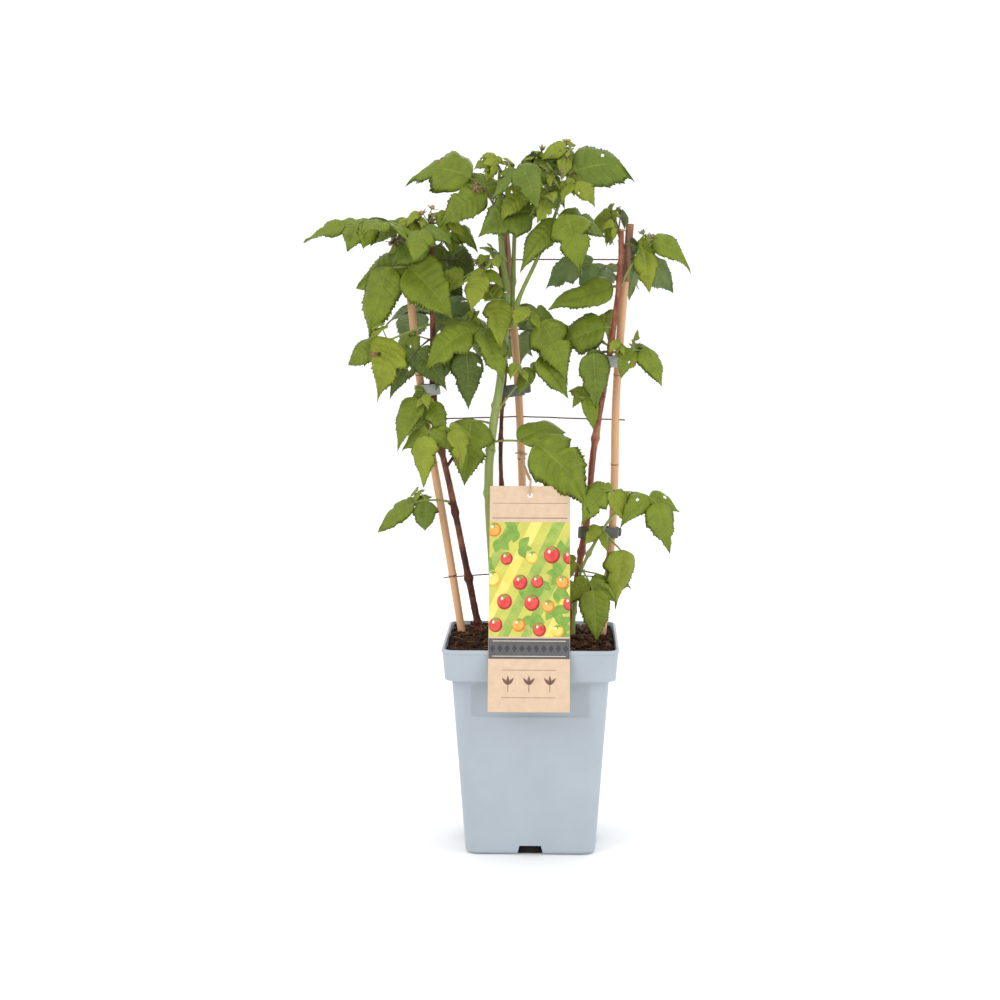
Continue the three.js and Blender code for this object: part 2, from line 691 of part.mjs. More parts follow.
// A shoot in numbers alone: its stem, its leaves and its buds. One leaf sits on the stem itself.
function growShoot(name, index) {
  const row = { ...SHOOT_DEFAULTS, ...SHOOTS[name] };
  const random = seeded(SEED.first + SEED.step * index);
  const limb = limbs[row.limb];
  const t = limb.atHeight(row.z);
  const line = {
    start: limb.point(t).addScaledVector(directionOf(row.heading, 0), limb.radius(t) * STEM_ROOT),
    yaw: row.heading,
    pitch: row.rise,
    length: row.reach,
    turn: row.turn,
    steps: STEM_STEPS,
  };
  if (row.leaves === 1) {
    const only = compoundLeaf({ ...line, row, scale: 1, random });
    return { stem: only.stalk, leaves: [{ blades: only.blades }], buds: budsAt(only.stalk, row, random) };
  }
  const stem = sweep({ ...line, bend: row.bend });
  const buds = budsAt(stem, row, random);
  const leaves = [];
  for (let leaf = 0; leaf < row.leaves; leaf += 1) {
    const last = leaf === row.leaves - 1;
    const s = last ? 1 : LEAF_SET.first + ((1 - LEAF_SET.first) * leaf) / (row.leaves - 1);
    const side = leaf % 2 === 0 ? 1 : -1;
    const swing = last ? 0 : side * row.swing + LEAF_SET.scatter * (random() - 0.5);
    leaves.push(compoundLeaf({
      start: alongLine(stem, s * LEAF_SET.root),
      yaw: row.heading + row.turn * s + swing,
      pitch: row.rise + row.bend * s,
      length: row.size * (last ? LEAF_SET.lastStalk : LEAF_SET.stalk),
      turn: 0,
      steps: STALK_STEPS,
      row,
      scale: last ? 1 : LEAF_SET.scale,
      random,
    }));
  }
  return { stem, leaves, buds };
}

function budsAt(stem, row, random) {
  const buds = [];
  for (let i = 0; i < row.buds; i += 1) {
    const from = alongLine(stem, BUD_PLAY.first + BUD_PLAY.span * random());
    const yaw = row.heading + BUD_PLAY.swing * (random() - 0.5);
    const out = directionOf(yaw, BUD_PLAY.rise * random());
    const length = BUD.stalk * (BUD_PLAY.least + BUD_PLAY.stretch * random());
    buds.push({ from, to: from.clone().addScaledVector(out, length) });
  }
  return buds;
}

// One leaflet: a pointed blade, folded up a little to each side of its midrib and hanging to its
// tip, sharp along its edges and thickest down the middle.
function bladeSolid({ base, along, normal, length, hang }, extra = 0) {
  const across = normal.clone().cross(along).normalize();
  const halfWidth = (length * BLADE_WIDTH) / 2;
  const halfThickness = BLADE_THICKNESS / 2 + extra;
  const rib = (u) => {
    const point = base.clone().addScaledVector(along, length * u);
    point.z -= length * hang * u * u;
    return point;
  };
  const points = [];
  for (const [u, w] of BLADE_ROWS) {
    const middle = rib(u);
    const side = across.clone().multiplyScalar(halfWidth * w + extra);
    const lift = normal.clone().multiplyScalar(halfWidth * w * BLADE_FOLD);
    points.push(middle.clone().add(side).add(lift));
    points.push(middle.clone().addScaledVector(normal, halfThickness));
    points.push(middle.clone().sub(side).add(lift));
    points.push(middle.clone().addScaledVector(normal, -halfThickness));
  }
  const tip = points.length;
  points.push(rib(1));
  const faces = [[0, 2, 1], [0, 3, 2]];
  for (let row = 0; row + 1 < BLADE_ROWS.length; row += 1) {
    for (let k = 0; k < 4; k += 1) {
      const a = row * 4 + k;
      const b = row * 4 + ((k + 1) % 4);
      faces.push([a, b, b + 4], [a, b + 4, a + 4]);
    }
  }
  for (let k = 0; k < 4; k += 1) {
    faces.push([tip - 4 + k, tip - 4 + ((k + 1) % 4), tip]);
  }
  return toSolid(geometryFrom(points, faces));
}

function stemSolid(points, [thick, thin]) {
  const last = points.length - 1;
  const radii = points.map((_, i) => thick + ((thin - thick) * i) / last);
  return toSolid(tube(points, radii, STEM_SIDES));
}

// A bud is a spindle that swells at the end of its own short stalk.
function budSolid({ from, to }) {
  return toSolid(tube(BUD.places.map((s) => from.clone().lerp(to, s)), BUD.radii, STEM_SIDES));
}

// ---- assembly --------------------------------------------------------------------------------

const FINISHES = {
  pot: { color: 0xbcc6ce, roughness: 0.5, metalness: 0 },
  compost: { color: 0x3a2417, roughness: 0.95, metalness: 0 },
  bamboo: { color: 0xd2a377, roughness: 0.5, metalness: 0 },
  wire: { color: 0x5b3a2c, roughness: 0.6, metalness: 0.2 },
  bark: { color: 0x6b4534, roughness: 0.7, metalness: 0 },
  green_stem: { color: 0x8a9a58, roughness: 0.55, metalness: 0 },
  tie: { color: 0x6f7467, roughness: 0.45, metalness: 0 },
  card: { color: 0xe4c3a0, roughness: 0.8, metalness: 0 },
  leaf: { color: 0x6f8a32, roughness: 0.5, metalness: 0 },
};
const GREEN_LIMBS = ["cane_green", "fork_left", "fork_right", "side_shoot", "green_shoot"];

const plant = new THREE.Group();
plant.name = "potted_raspberry_cane";
const placed = [];

function place(name, solid, finish) {
  const mesh = new THREE.Mesh(toGeometry(solid), new THREE.MeshStandardMaterial(FINISHES[finish]));
  mesh.name = name;
  plant.add(mesh);
  placed.push({ name, solid, bounds: boundsOf(solid) });
}

function boundsOf(solid) {
  const { min, max } = solid.boundingBox();
  return new THREE.Box3(vector(min), vector(max));
}

function touches(solid) {
  const bounds = boundsOf(solid);
  const near = placed.filter((other) => bounds.intersectsBox(other.bounds));
  return near.some((other) => !solid.intersect(other.solid).isEmpty());
}

// Fuses a shoot into one solid, leaving out every leaf, leaflet and bud that meets another piece.
function makeShoot(name, index) {
  const shoot = growShoot(name, index);
  let mass = stemSolid(shoot.stem, STEM_RADII).subtract(limbs[SHOOTS[name].limb].solid(CANE_SIDES, GAP));
  for (const { stalk, blades } of shoot.leaves) {
    const stalkSolid = stalk ? stemSolid(stalk, STALK_RADII) : null;
    if (stalkSolid && touches(stalkSolid)) {
      continue;
    }
    if (stalkSolid) {
      mass = mass.add(stalkSolid);
    }
    for (const blade of blades) {
      if (!touches(bladeSolid(blade, GAP))) {
        mass = mass.add(bladeSolid(blade));
      }
    }
  }
  for (const bud of shoot.buds) {
    if (!touches(budSolid(bud))) {
      mass = mass.add(budSolid(bud));
    }
  }
  return mass;
}

const sockets = [];
for (const [name, limb] of Object.entries(limbs)) {
  if (limb.point(0).z < COMPOST_LEVEL) {
    sockets.push(limb.solid(name in RODS ? BAMBOO_SIDES : CANE_SIDES, SOCKET_GAP));
  }
}
place("pot", makePot(), "pot");
place("compost", makeCompost(sockets), "compost");
for (const name of Object.keys(RODS)) {
  let rod = limbs[name].solid(BAMBOO_SIDES);
  for (const height of Object.values(WIRE_HEIGHTS)) {
    rod = rod.subtract(wireTube(height, WIRE_RADIUS + GAP));
  }
  place(name, rod, "bamboo");
}
for (const [name, height] of Object.entries(WIRE_HEIGHTS)) {
  place(name, wireTube(height, WIRE_RADIUS), "wire");
}
for (const name of Object.keys(CANES)) {
  place(name, limbs[name].solid(CANE_SIDES), GREEN_LIMBS.includes(name) ? "green_stem" : "bark");
}
for (const [name, tie] of Object.entries(TIES)) {
  place(name, makeTie(tie), "tie");
}
place("label", makeLabel(), "card");
place("label_ring", makeLabelRing(), "wire");
Object.keys(SHOOTS).forEach((name, index) => place(name, makeShoot(name, index), "leaf"));

export default plant;
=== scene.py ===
# Looks for a potted raspberry cane: pot, compost, trellis, canes, bands, label, leaves and stage.
# Metres and +Z up in the scene. The plant's own sizes below are in millimetres and degrees.

import math
from typing import NamedTuple

import bmesh
import bpy
import numpy as np
from mathutils import Matrix, Vector, kdtree, noise


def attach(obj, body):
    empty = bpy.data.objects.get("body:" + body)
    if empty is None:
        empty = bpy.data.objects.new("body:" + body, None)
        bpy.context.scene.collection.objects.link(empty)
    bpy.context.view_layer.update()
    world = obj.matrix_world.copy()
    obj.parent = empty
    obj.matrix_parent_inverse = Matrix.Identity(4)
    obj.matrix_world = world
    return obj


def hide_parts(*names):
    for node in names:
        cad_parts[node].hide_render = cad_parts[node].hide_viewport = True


bl_info = {
    "name": "Potted raspberry cane",
    "version": (1, 0, 0),
    "blender": (4, 5, 0),
    "location": "3D View > Sidebar > Raspberry",
    "description": "Dresses a potted raspberry cane on its bamboo trellis",
    "category": "Add Mesh",
}

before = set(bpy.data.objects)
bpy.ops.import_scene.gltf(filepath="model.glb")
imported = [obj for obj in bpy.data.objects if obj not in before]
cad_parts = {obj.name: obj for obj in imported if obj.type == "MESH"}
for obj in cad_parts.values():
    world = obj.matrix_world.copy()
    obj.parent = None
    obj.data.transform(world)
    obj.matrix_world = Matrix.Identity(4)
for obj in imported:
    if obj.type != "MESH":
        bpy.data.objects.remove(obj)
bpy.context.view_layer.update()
MM = 0.001
SEEDS = {"crumbs": 9211, "fibres": 4127, "print": 733, "canes": 617, "tones": 5003, "buds": 71, "finer": 3301}

# ---- sizes: pot and compost --------------------------------------------------------------------

RIM_WIDTH = 170
RIM_HEIGHT = 206
LIP_DEPTH = 3.5
LIP_PROUD = 0.5
COLLAR_DEPTH = 30
COLLAR_FOOT_WIDTH = 165
SHOULDER_WIDTH = 152
SHOULDER_DEPTH = 2.5
SHOULDER_ROUND = 1.2
COLLAR_ROUND = 1.1
BASE_WIDTH = 127
BASE_ROUND = 4.5
BASE_MIDDLE = (40, 6)  # width and corner radius of the flat inside the base's edge
CORNER_RADIUS = 13
CORNER_STEPS = 8
WALL = 2.2
FLOOR = 3
NICHE = {"bottom": 26.6, "top": 21, "height": 9, "depth": 11, "wall": 1.8}
PANEL = {"half": 57, "low": 138, "high": 172.3, "depth": 1.1, "edge": 3, "top_edge": 1.5}
SIDE_MARKS = (-57, -54, -45, -36, -27, -18, -9, 0, 9, 18, 27, 36, 45, 54, 57)  # points along a side
SIDE_FLAT = 58  # half the flat side that takes them; they draw together on a narrower one

COMPOST_LEVEL = 203.5
COMPOST_EDGE = 202
COMPOST_BED = 178
COMPOST_STEPS = 132
COMPOST_AIR = 0.25  # between the compost and the wall
COMPOST_DROOP = 4.5  # how far it sinks at the wall
LUMPS = {"height": 1.5, "length_x": 43, "length_y": 49, "shift_x": 7, "shift_y": -5}
MOUND = {"x": -52, "y": 8, "height": 3.2, "spread": 30}
GRAINS = (  # of the compost's surface: (across, height, where its pattern starts)
    (9, 2.0, (0, 0, 0)), (4.3, 1.3, (7, 3, 1)), (1.9, 0.8, (2, 9, 4)), (0.9, 0.35, (0, 0, 0)),
)

# ---- sizes: trellis, bands and label -----------------------------------------------------------

BAMBOO_RADIUS = 4
BAMBOO_NODE_SPACING = 118
WIRE_RADIUS = 0.65
WIRE_OVERHANG = 10
WIRE_HEIGHTS = {"wire_low": 261, "wire_middle": 420, "wire_top": 578}
RODS = {
    "bamboo_left": [[-40, 25, 13], [-84, 23, 290], [-111, 21, 455], [-127, 20, 608]],
    "bamboo_middle": [[4, 50, 13], [-8, 62, 290], [-15, 60, 455], [-28, 57, 610]],
    "bamboo_right": [[50, 25, 13], [79, 23, 290], [84, 21, 455], [96, 20, 613]],
}

TIE_HEIGHT = 11
TIE_THICKNESS = 1
TIE_INNER_RADIUS = 5.6
TIES = {  # band: (rod, cane, height, length of its tail, finish)
    "tie_left": ("bamboo_left", "cane_left", 449, 3, "band_clear"),
    "tie_middle": ("bamboo_middle", "cane_back", 447, 10, "band_dark"),
    "tie_right_low": ("bamboo_right", "cane_right", 307, 4, "band_dark"),
    "tie_right_high": ("bamboo_right", "cane_right", 478, 5, "band_clear"),
}

LABEL = {"width": 78, "length": 221, "thickness": 0.9, "clip": 6, "hole": 2.6, "hole_inset": 9}
LABEL_LEAN = 20
LABEL_X = -1
LABEL_FOOT_Z = 151
LABEL_CLEARANCE = 0.7
INK = 0.05

# ---- sizes: canes ------------------------------------------------------------------------------

CANES = {  # limb: (its bends, its radius at foot and tip)
    "cane_left": (
        [[-51, 21, 196], [-62, 18, 254], [-80, 12, 346], [-96, 7, 432], [-98, 8, 545], [-100, 10, 622]],
        (3.5, 2.4),
    ),
    "cane_green": (
        [[-34, 32, 196], [-43, 22, 340], [-40, 18, 402], [-30, 15, 470], [-25, 15, 545]], (4.6, 3.9),
    ),
    "cane_back": (
        [[-20, 48, 196], [-31, 43, 352], [-31, 44, 420], [-27, 44, 480], [-33, 40, 585]], (2.4, 1.6),
    ),
    "cane_right": (
        [[37, 17, 196], [46, 11, 266], [56, 5, 330], [61, 4, 390], [77, 4, 490], [86, 5, 563], [87, 6, 606]],
        (3.4, 2.7),
    ),
    "green_shoot": ([[41, 5, 196], [44, 2, 249], [53, -3, 281], [74, -8, 319], [96, -12, 349]], (1.9, 1.2)),
    "fork_left": ([[-25, 15, 546.5], [-30, 14, 587], [-33, 10, 631], [-32, 8, 664]], (3.3, 1.5)),
    "fork_right": (
        [[-20, 22.5, 531], [-19, 26, 560], [-17, 25, 612], [-11, 20, 650], [-8, 16, 668]], (2.6, 1.4),
    ),
    "side_shoot": ([[-21, 9, 512], [-12, 4, 542], [8, 0, 585], [22, -1, 620], [37, -2, 664]], (2.3, 1.3)),
}
CANE_NODE_SPACING = 62
CANE_SKINS = {  # limb: (finish, finish of its tip, ridges, prickles)
    "cane_left": ("bark_dark", "dry_tip", 0.5, 90),
    "cane_green": ("cane_green", "cane_green", 0.22, 60),
    "cane_back": ("bark_dark", "dry_tip", 0.35, 30),
    "cane_right": ("bark_red", "bamboo_cut", 0.42, 90),
    "green_shoot": ("cane_green", "cane_green", 0.12, 20),
    "fork_left": ("petiole", "petiole", 0.15, 16),
    "fork_right": ("petiole", "petiole", 0.12, 16),
    "side_shoot": ("petiole", "petiole", 0.12, 24),
}
STUBS = {  # limb: (height, heading, rise, length, radius) of each pruned side shoot
    "cane_left": ((372, 10, 55, 14, 1.5), (333, 160, 30, 7, 1.3), (262, 200, 35, 5, 1.4)),
    "cane_right": ((441, 300, 40, 7, 1.2),),
}

# ---- sizes: foliage ----------------------------------------------------------------------------

STEM_ROOT = 0.6
BLADE_WIDTH = 0.82
BLADE_ROWS = ((0, 0.1), (0.2, 0.86), (0.62, 0.76))
BLADE_FOLD = 0.32
BLADE_ROOT = 2
BUD_STALK = 9
SEED_FIRST = 4001
SEED_STEP = 977
FACE_SCATTER = 22
SPLAY_SCATTER = 14
SIDE_SCATTER = 0.16
SIDE_STEP = 0.33
SIDE_TWIST = 14
BUD_PLAY = {"first": 0.55, "span": 0.4, "swing": 300, "rise": 50, "least": 0.8, "stretch": 0.5}
LEAF_SET = {"first": 0.35, "root": 0.97, "scatter": 20, "stalk": 0.6, "last_stalk": 0.45, "scale": 0.85}
STEM_STEPS = 4
STALK_STEPS = 2
LIMB_AIR = 7  # what a finer leaf's tip keeps from every limb
SOLID_AIR = 0.2  # how near a leaflet's corner lies to its solid's, if the solid has it

OUTLINE_U = (0, 0.02, 0.06, 0.12, 0.2, 0.3, 0.42, 0.54, 0.66, 0.76, 0.84, 0.9, 0.95, 0.98, 1)
OUTLINE_W = (0.05, 0.32, 0.62, 0.84, 0.96, 1.0, 0.97, 0.88, 0.73, 0.55, 0.38, 0.23, 0.12, 0.055, 0)
COLUMNS = (0, 0.028, 0.17, 0.37, 0.58, 0.8, 1.0)
UNDERSIDE = (2, 3, 4, 5)  # the columns that a leaflet's underside keeps between its rib and its edge
TOOTH_PLACES = (0, 0.13, 0.28, 0.6, 0.7)
TEETH = (0.75, 1.0, 0.0, 0.66, 0.08)
VEINS = ((44, 8), (32, 7), (22, 6), (0, 4))  # (over this length, pairs of side veins)
LEAFLET_PLAY = {  # what differs from leaflet to leaflet: (least, span)
    "width": (0.8, 0.2), "fold": (0.75, 0.35), "curl": (0.2, 0.42), "hook": (0.03, 0.2), "pinch": (0, 0.75),
}
LEAFLET_SWAY = 0.07
LEAFLET_TWIST = 56
BITTEN_SHARE = 0.13
HOLED_SHARE = 0.2
DRY_SHARE = 0.06
DRY_BUD_SHARE = 0.7


class Shoot(NamedTuple):
    """A shoot: where it leaves its limb, how it runs, what it carries, and how its leaves are set."""

    limb: str
    z: float
    heading: float
    rise: float
    reach: float
    size: float
    turn: float = 0
    bend: float = -20
    leaves: int = 1
    swing: float = 60
    leaflets: int = 3
    side: float = 0.8
    splay: float = 70
    drop: float = 10
    hang: float = 0.25
    face: float = -90
    tilt: float = 30
    buds: int = 0
    # its leaves' tint: bright, dark and shade are painted light and painted shade on the leaf green
    tone: str = "mid"
    finer: int = 1  # small young leaves along its stem
    truss: tuple = (0, 0)  # more flower buds, and the least rise of their stalks
    dry: bool = False  # whether most of its buds are spent flowers
    red: bool = False  # whether its stalks are reddish


SHOOTS = {
    "left_far": Shoot(
        "cane_left", 602, 183, 20, 40, 42, bend=-14, leaves=2, leaflets=5, drop=2, hang=0.15, tilt=55,
        tone="bright", finer=0, truss=(7, -85), dry=True,
    ),
    "left_top": Shoot(
        "cane_left", 608, -100, 20, 14, 36, leaves=2, swing=-80, drop=15, buds=2, tone="dark", finer=5,
        truss=(5, 10), dry=True,
    ),
    "left_shade": Shoot("cane_left", 590, 75, 12, 30, 48, leaves=2, drop=70, tone="shade", finer=4),
    "left_mid_out": Shoot(
        "cane_left", 566, 184, 20, 22, 60, bend=-30, side=0.95, drop=60, tone="bright", finer=0,
    ),
    "left_dark": Shoot("cane_left", 588, 222, 38, 10, 42, leaflets=1, drop=26, tone="dark"),
    "left_low_out": Shoot(
        "cane_left", 515, 208, -16, 44, 38, bend=-6, side=1.5, splay=52, drop=-8, tone="bright",
    ),
    "centre_bright": Shoot("cane_green", 508, 210, 10, 20, 54, side=0.9, tone="bright"),
    "left_behind": Shoot(
        "cane_left", 500, 240, 0, 8, 48, leaves=2, swing=100, splay=45, drop=60, tone="shade",
    ),
    "left_down": Shoot("cane_left", 434, 216, 30, 8, 40, drop=65, hang=0.3, finer=2),
    "left_foot": Shoot("cane_left", 415, 255, 10, 8, 36, leaves=2, drop=50, tone="bright"),
    "left_lowest": Shoot("cane_left", 338, 188, 14, 26, 40, bend=-30, side=0.85, drop=8, tilt=50),
    "crown_left": Shoot(
        "fork_left", 617, 170, 80, 28, 72, bend=-50, side=0.72, splay=50, drop=8, hang=0.3, tilt=55,
        truss=(3, -60), dry=True, red=True,
    ),
    "crown_dark": Shoot(
        "side_shoot", 607, 206, 55, 26, 58, bend=-30, leaflets=1, drop=30, tone="dark", finer=3,
    ),
    "crown_small": Shoot(
        "fork_left", 654, -60, 35, 18, 40, leaves=3, swing=170, drop=35, tone="dark", finer=6,
    ),
    "crown_trio": Shoot("side_shoot", 608, -62, 30, 18, 52, side=0.9, drop=60),
    "crown_right": Shoot(
        "side_shoot", 656, -6, 55, 10, 66, leaflets=1, drop=12, hang=0.35, finer=0, red=True,
    ),
    "crown_peak": Shoot(
        "side_shoot", 660, 178, 88, 17, 26, bend=-10, drop=80, buds=3, tone="young", finer=3, red=True,
    ),
    "crown_middle": Shoot(
        "fork_right", 662, 20, 40, 24, 34, leaves=3, drop=60, buds=2, tone="dark", finer=6, truss=(3, 20),
    ),
    "crown_inner": Shoot(
        "side_shoot", 648, 200, 20, 16, 34, leaves=3, swing=110, drop=20, tone="young", finer=6,
        truss=(5, 20),
    ),
    "centre_big": Shoot("cane_green", 430, -18, 52, 54, 42, bend=-5, side=0.6, drop=90),
    "centre_upper": Shoot("side_shoot", 521, -18, 0, 12, 50, side=0.7, drop=35),
    "centre_left_high": Shoot("cane_green", 538, -110, 10, 12, 48, turn=-60, drop=15, tone="young", finer=2),
    "centre_buds": Shoot(
        "fork_left", 575, 186, -5, 24, 38, leaves=2, buds=5, tone="young", finer=5, truss=(7, -75),
        dry=True,
    ),
    "centre_round": Shoot("cane_green", 416, 190, 20, 20, 54, leaflets=1, drop=82, hang=0.1, finer=0),
    "centre_low": Shoot("cane_green", 398, -34, 10, 30, 70, drop=14, hang=0.3, finer=0),
    "right_inner": Shoot(
        "cane_right", 552, 186, 0, 6, 66, leaflets=1, drop=-8, hang=0.1, tilt=60, finer=0, red=True,
    ),
    "right_mid_in": Shoot("cane_right", 512, 170, 8, 9, 56, leaflets=1, drop=0),
    "right_mid_left": Shoot("cane_right", 488, 225, 5, 8, 42, splay=45, drop=80, tone="dark"),
    "right_reach": Shoot("cane_right", 440, 200, 20, 12, 34, drop=30),
    "right_top": Shoot(
        "cane_right", 592, 110, 75, 22, 30, leaves=3, swing=25, drop=60, tone="young", finer=4,
        truss=(3, -50), red=True,
    ),
    "right_far": Shoot(
        "cane_right", 552, 6, 68, 42, 40, bend=-30, drop=52, hang=0.35, tone="bright", truss=(3, 20),
    ),
    "right_mid": Shoot("cane_right", 487, -30, 15, 24, 33, drop=40, buds=2, finer=3),
    "shoot_top": Shoot(
        "green_shoot", 347, -50, 40, 14, 40, bend=-38, leaves=2, swing=-100, drop=24, tone="bright",
    ),
    "shoot_low": Shoot("green_shoot", 308, -20, -20, 28, 42, bend=-30, leaflets=1, drop=50, tone="bright"),
    "foot_right": Shoot("green_shoot", 272, -70, 0, 6, 40, leaves=2, drop=35, tone="bright"),
    "back_left": Shoot("cane_left", 530, 108, 15, 40, 44, leaves=3, face=90),
    "back_centre": Shoot("cane_back", 500, 94, 20, 46, 46, leaves=3, face=90, tone="dark"),
    "back_right": Shoot("cane_right", 566, 100, 20, 46, 44, leaves=3, face=90),
}

# ---- stage, in metres --------------------------------------------------------------------------

FLOOR_REACH = 7
FLOOR_DROP = 0.0004
LIGHTS = (  # (name, place, width, the setting that gives its power)
    ("key_light", (-1.3, -1.7, 2.0), 1.6, "key"),
    ("fill_light", (1.9, -1.2, 1.1), 1.4, "fill"),
    ("back_light", (0.4, 1.9, 1.7), 1.5, "fill"),
)
LIGHT_TARGET = (0, 0, 0.36)
CAMERA = {"place": (0.02847, -2.0417, 0.57446), "yaw": -1.677, "pitch": -6.504, "lens": 74.78, "sensor": 36}

# ---- small helpers -----------------------------------------------------------------------------


def seeded(seed):
    """The plant's own random numbers, the same on every run."""
    state = seed

    def draw():
        nonlocal state
        state = (state * 48271) % 2147483647
        return state / 2147483647

    return draw


def direction(yaw, pitch):
    yaw, pitch = math.radians(yaw), math.radians(pitch)
    level = math.cos(pitch)
    return Vector((level * math.cos(yaw), level * math.sin(yaw), math.sin(pitch)))


def turned(vector, axis, degrees):
    return Matrix.Rotation(math.radians(degrees), 3, axis) @ vector


def smooth(low, high, value):
    t = min(max((value - low) / (high - low), 0), 1)
    return t * t * (3 - 2 * t)


def swell(away, height, spread):
    """How high a round swelling is, that far from its middle."""
    return height * math.exp(-(away / spread) ** 2)


def arc(steps, first, last):
    """Angles from first to last, in radians."""
    return [math.radians(first + (last - first) * i / steps) for i in range(steps + 1)]


def looped(items):
    """Each item with the one after it, the last with the first."""
    return zip(items, items[1:] + items[:1])


class Sculpt:
    """Gathers points and faces, in millimetres, for one joined mesh."""

    def __init__(self):
        self.points = []
        self.faces = []
        self.finishes = []

    def add(self, points, faces, finish):
        first = len(self.points)
        self.points.extend(tuple(p) for p in points)
        self.faces.extend(tuple(first + i for i in face) for face in faces)
        self.finishes.extend([finish] * len(faces) if isinstance(finish, str) else finish)

    def loft(self, rings, finish):
        """Skins rings of equal count and caps both ends. The finish may be a rule, finish(ring, place)."""
        rule = finish if callable(finish) else lambda r, k: finish
        count = len(rings[0])
        points = [p for ring in rings for p in ring]
        faces = []
        finishes = []
        for r in range(len(rings) - 1):
            for k in range(count):
                a = r * count + k
                b = r * count + (k + 1) % count
                faces.append((a, b, b + count, a + count))
                finishes.append(rule(r, k))
        faces += [tuple(reversed(range(count))), tuple(range(len(points) - count, len(points)))]
        finishes += [rule(-2, 0), rule(-1, 0)]
        self.add(points, faces, finishes)

    def tube(self, path, radii, sides, finish):
        self.loft(tube_rings(path, radii, sides), finish)

    def build(self, name, sharp=None):
        """Makes the object, in metres, riding on the plant's one body."""
        mesh = bpy.data.meshes.new(name)
        mesh.from_pydata([(x * MM, y * MM, z * MM) for x, y, z in self.points], [], self.faces)
        names = sorted(set(self.finishes))
        for finish in names:
            mesh.materials.append(finish_named(finish))
        place = {finish: i for i, finish in enumerate(names)}
        mesh.polygons.foreach_set("material_index", [place[f] for f in self.finishes])
        mesh.polygons.foreach_set("use_smooth", [True] * len(self.faces))
        mesh.validate()
        mesh.update()
        if sharp is not None:
            mesh.set_sharp_from_angle(angle=math.radians(sharp))
        piece = bpy.data.objects.new(name, mesh)
        bpy.context.scene.collection.objects.link(piece)
        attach(piece, "root")
        return piece


def tube_rings(path, radii, sides, relief=None):
    """Rings square to a path, carried on from one to the next. relief(i, angle) adds to a radius."""
    rings = []
    side = None
    for i, point in enumerate(path):
        along = (path[min(i + 1, len(path) - 1)] - path[max(i - 1, 0)]).normalized()
        if side is None:
            side = Vector((1, 0, 0)) if abs(along.z) > 0.8 else Vector((0, 0, 1))
        side = (side - along * side.dot(along)).normalized()
        other = along.cross(side)
        ring = []
        for k in range(sides):
            angle = 2 * math.pi * k / sides
            radius = radii[i] + (relief(i, angle) if relief else 0)
            ring.append(point + side * (radius * math.cos(angle)) + other * (radius * math.sin(angle)))
        rings.append(ring)
    return rings


def drawn_in(ring, centre, share, shift=Vector((0, 0, 0))):
    """A ring shrunk to a share of its size and moved."""
    return [centre + (p - centre) * share + shift for p in ring]


def middle_of(ring):
    return sum(ring, Vector()) / len(ring)


# ---- finishes ----------------------------------------------------------------------------------

# The colour sockets of a mix node, which shares its socket names with its number sockets.
MIX_FACTOR, MIX_A, MIX_B, MIX_RESULT = 0, 6, 7, 2
COLOUR, NUMBER = "NodeSocketColor", "NodeSocketFloat"


def node(tree, kind, **values):
    """A shader node with its settings and its inputs' values, which are told apart by name."""
    made = tree.nodes.new("ShaderNode" + kind)
    for key, value in values.items():
        if hasattr(made, key):
            setattr(made, key, value)
        else:
            made.inputs[key.replace("_", " ")].default_value = value
    return made


def math_node(tree, operation, second=None):
    made = node(tree, "Math", operation=operation)
    if second is not None:
        made.inputs[1].default_value = second
    return made


def effect_group(name, tints, numbers):
    """A node group that takes tints and numbers and gives a colour, a roughness and a height."""
    tree = bpy.data.node_groups.new(name, "ShaderNodeTree")
    for label, default in {**tints, **numbers}.items():
        tint = label in tints
        socket = tree.interface.new_socket(label, in_out="INPUT", socket_type=COLOUR if tint else NUMBER)
        socket.default_value = (*default, 1) if tint else default
    for label, kind in (("Colour", COLOUR), ("Roughness", NUMBER), ("Height", NUMBER)):
        tree.interface.new_socket(label, in_out="OUTPUT", socket_type=kind)
    source, sink = tree.nodes.new("NodeGroupInput"), tree.nodes.new("NodeGroupOutput")
    return tree, source, sink, node(tree, "TexCoord")


def wire_up(tree, *routes):
    """Links nodes; each route is (node, its output, next node, its input)."""
    for giver, output, taker, socket in routes:
        tree.links.new(giver.outputs[output], taker.inputs[socket])


def soft_mottle(name):
    """Soft blotches between two colours, with a fine grain of roughness and height."""
    tree, source, sink, place = effect_group(
        name,
        {"Colour": (0.5, 0.5, 0.5), "Blotch": (0.4, 0.4, 0.4)},
        {"Blotch size": 60.0, "Grain size": 900.0, "Roughness": 0.5, "Roughness play": 0.15},
    )
    blotch = node(tree, "TexNoise", Detail=4.0, Roughness=0.6)
    grain = node(tree, "TexNoise", Detail=3.0)
    spread = node(tree, "MapRange", From_Min=0.36, From_Max=0.66)
    mix = node(tree, "Mix", data_type="RGBA")
    play = math_node(tree, "MULTIPLY_ADD")
    centre = math_node(tree, "SUBTRACT", 0.5)
    wire_up(
        tree,
        (place, "Object", blotch, "Vector"), (source, "Blotch size", blotch, "Scale"),
        (place, "Object", grain, "Vector"), (source, "Grain size", grain, "Scale"),
        (blotch, "Fac", spread, "Value"), (spread, "Result", mix, MIX_FACTOR),
        (source, "Colour", mix, MIX_A), (source, "Blotch", mix, MIX_B),
        (grain, "Fac", centre, 0), (centre, "Value", play, 0),
        (source, "Roughness play", play, 1), (source, "Roughness", play, 2),
        (mix, MIX_RESULT, sink, "Colour"), (play, "Value", sink, "Roughness"), (grain, "Fac", sink, "Height"),
    )


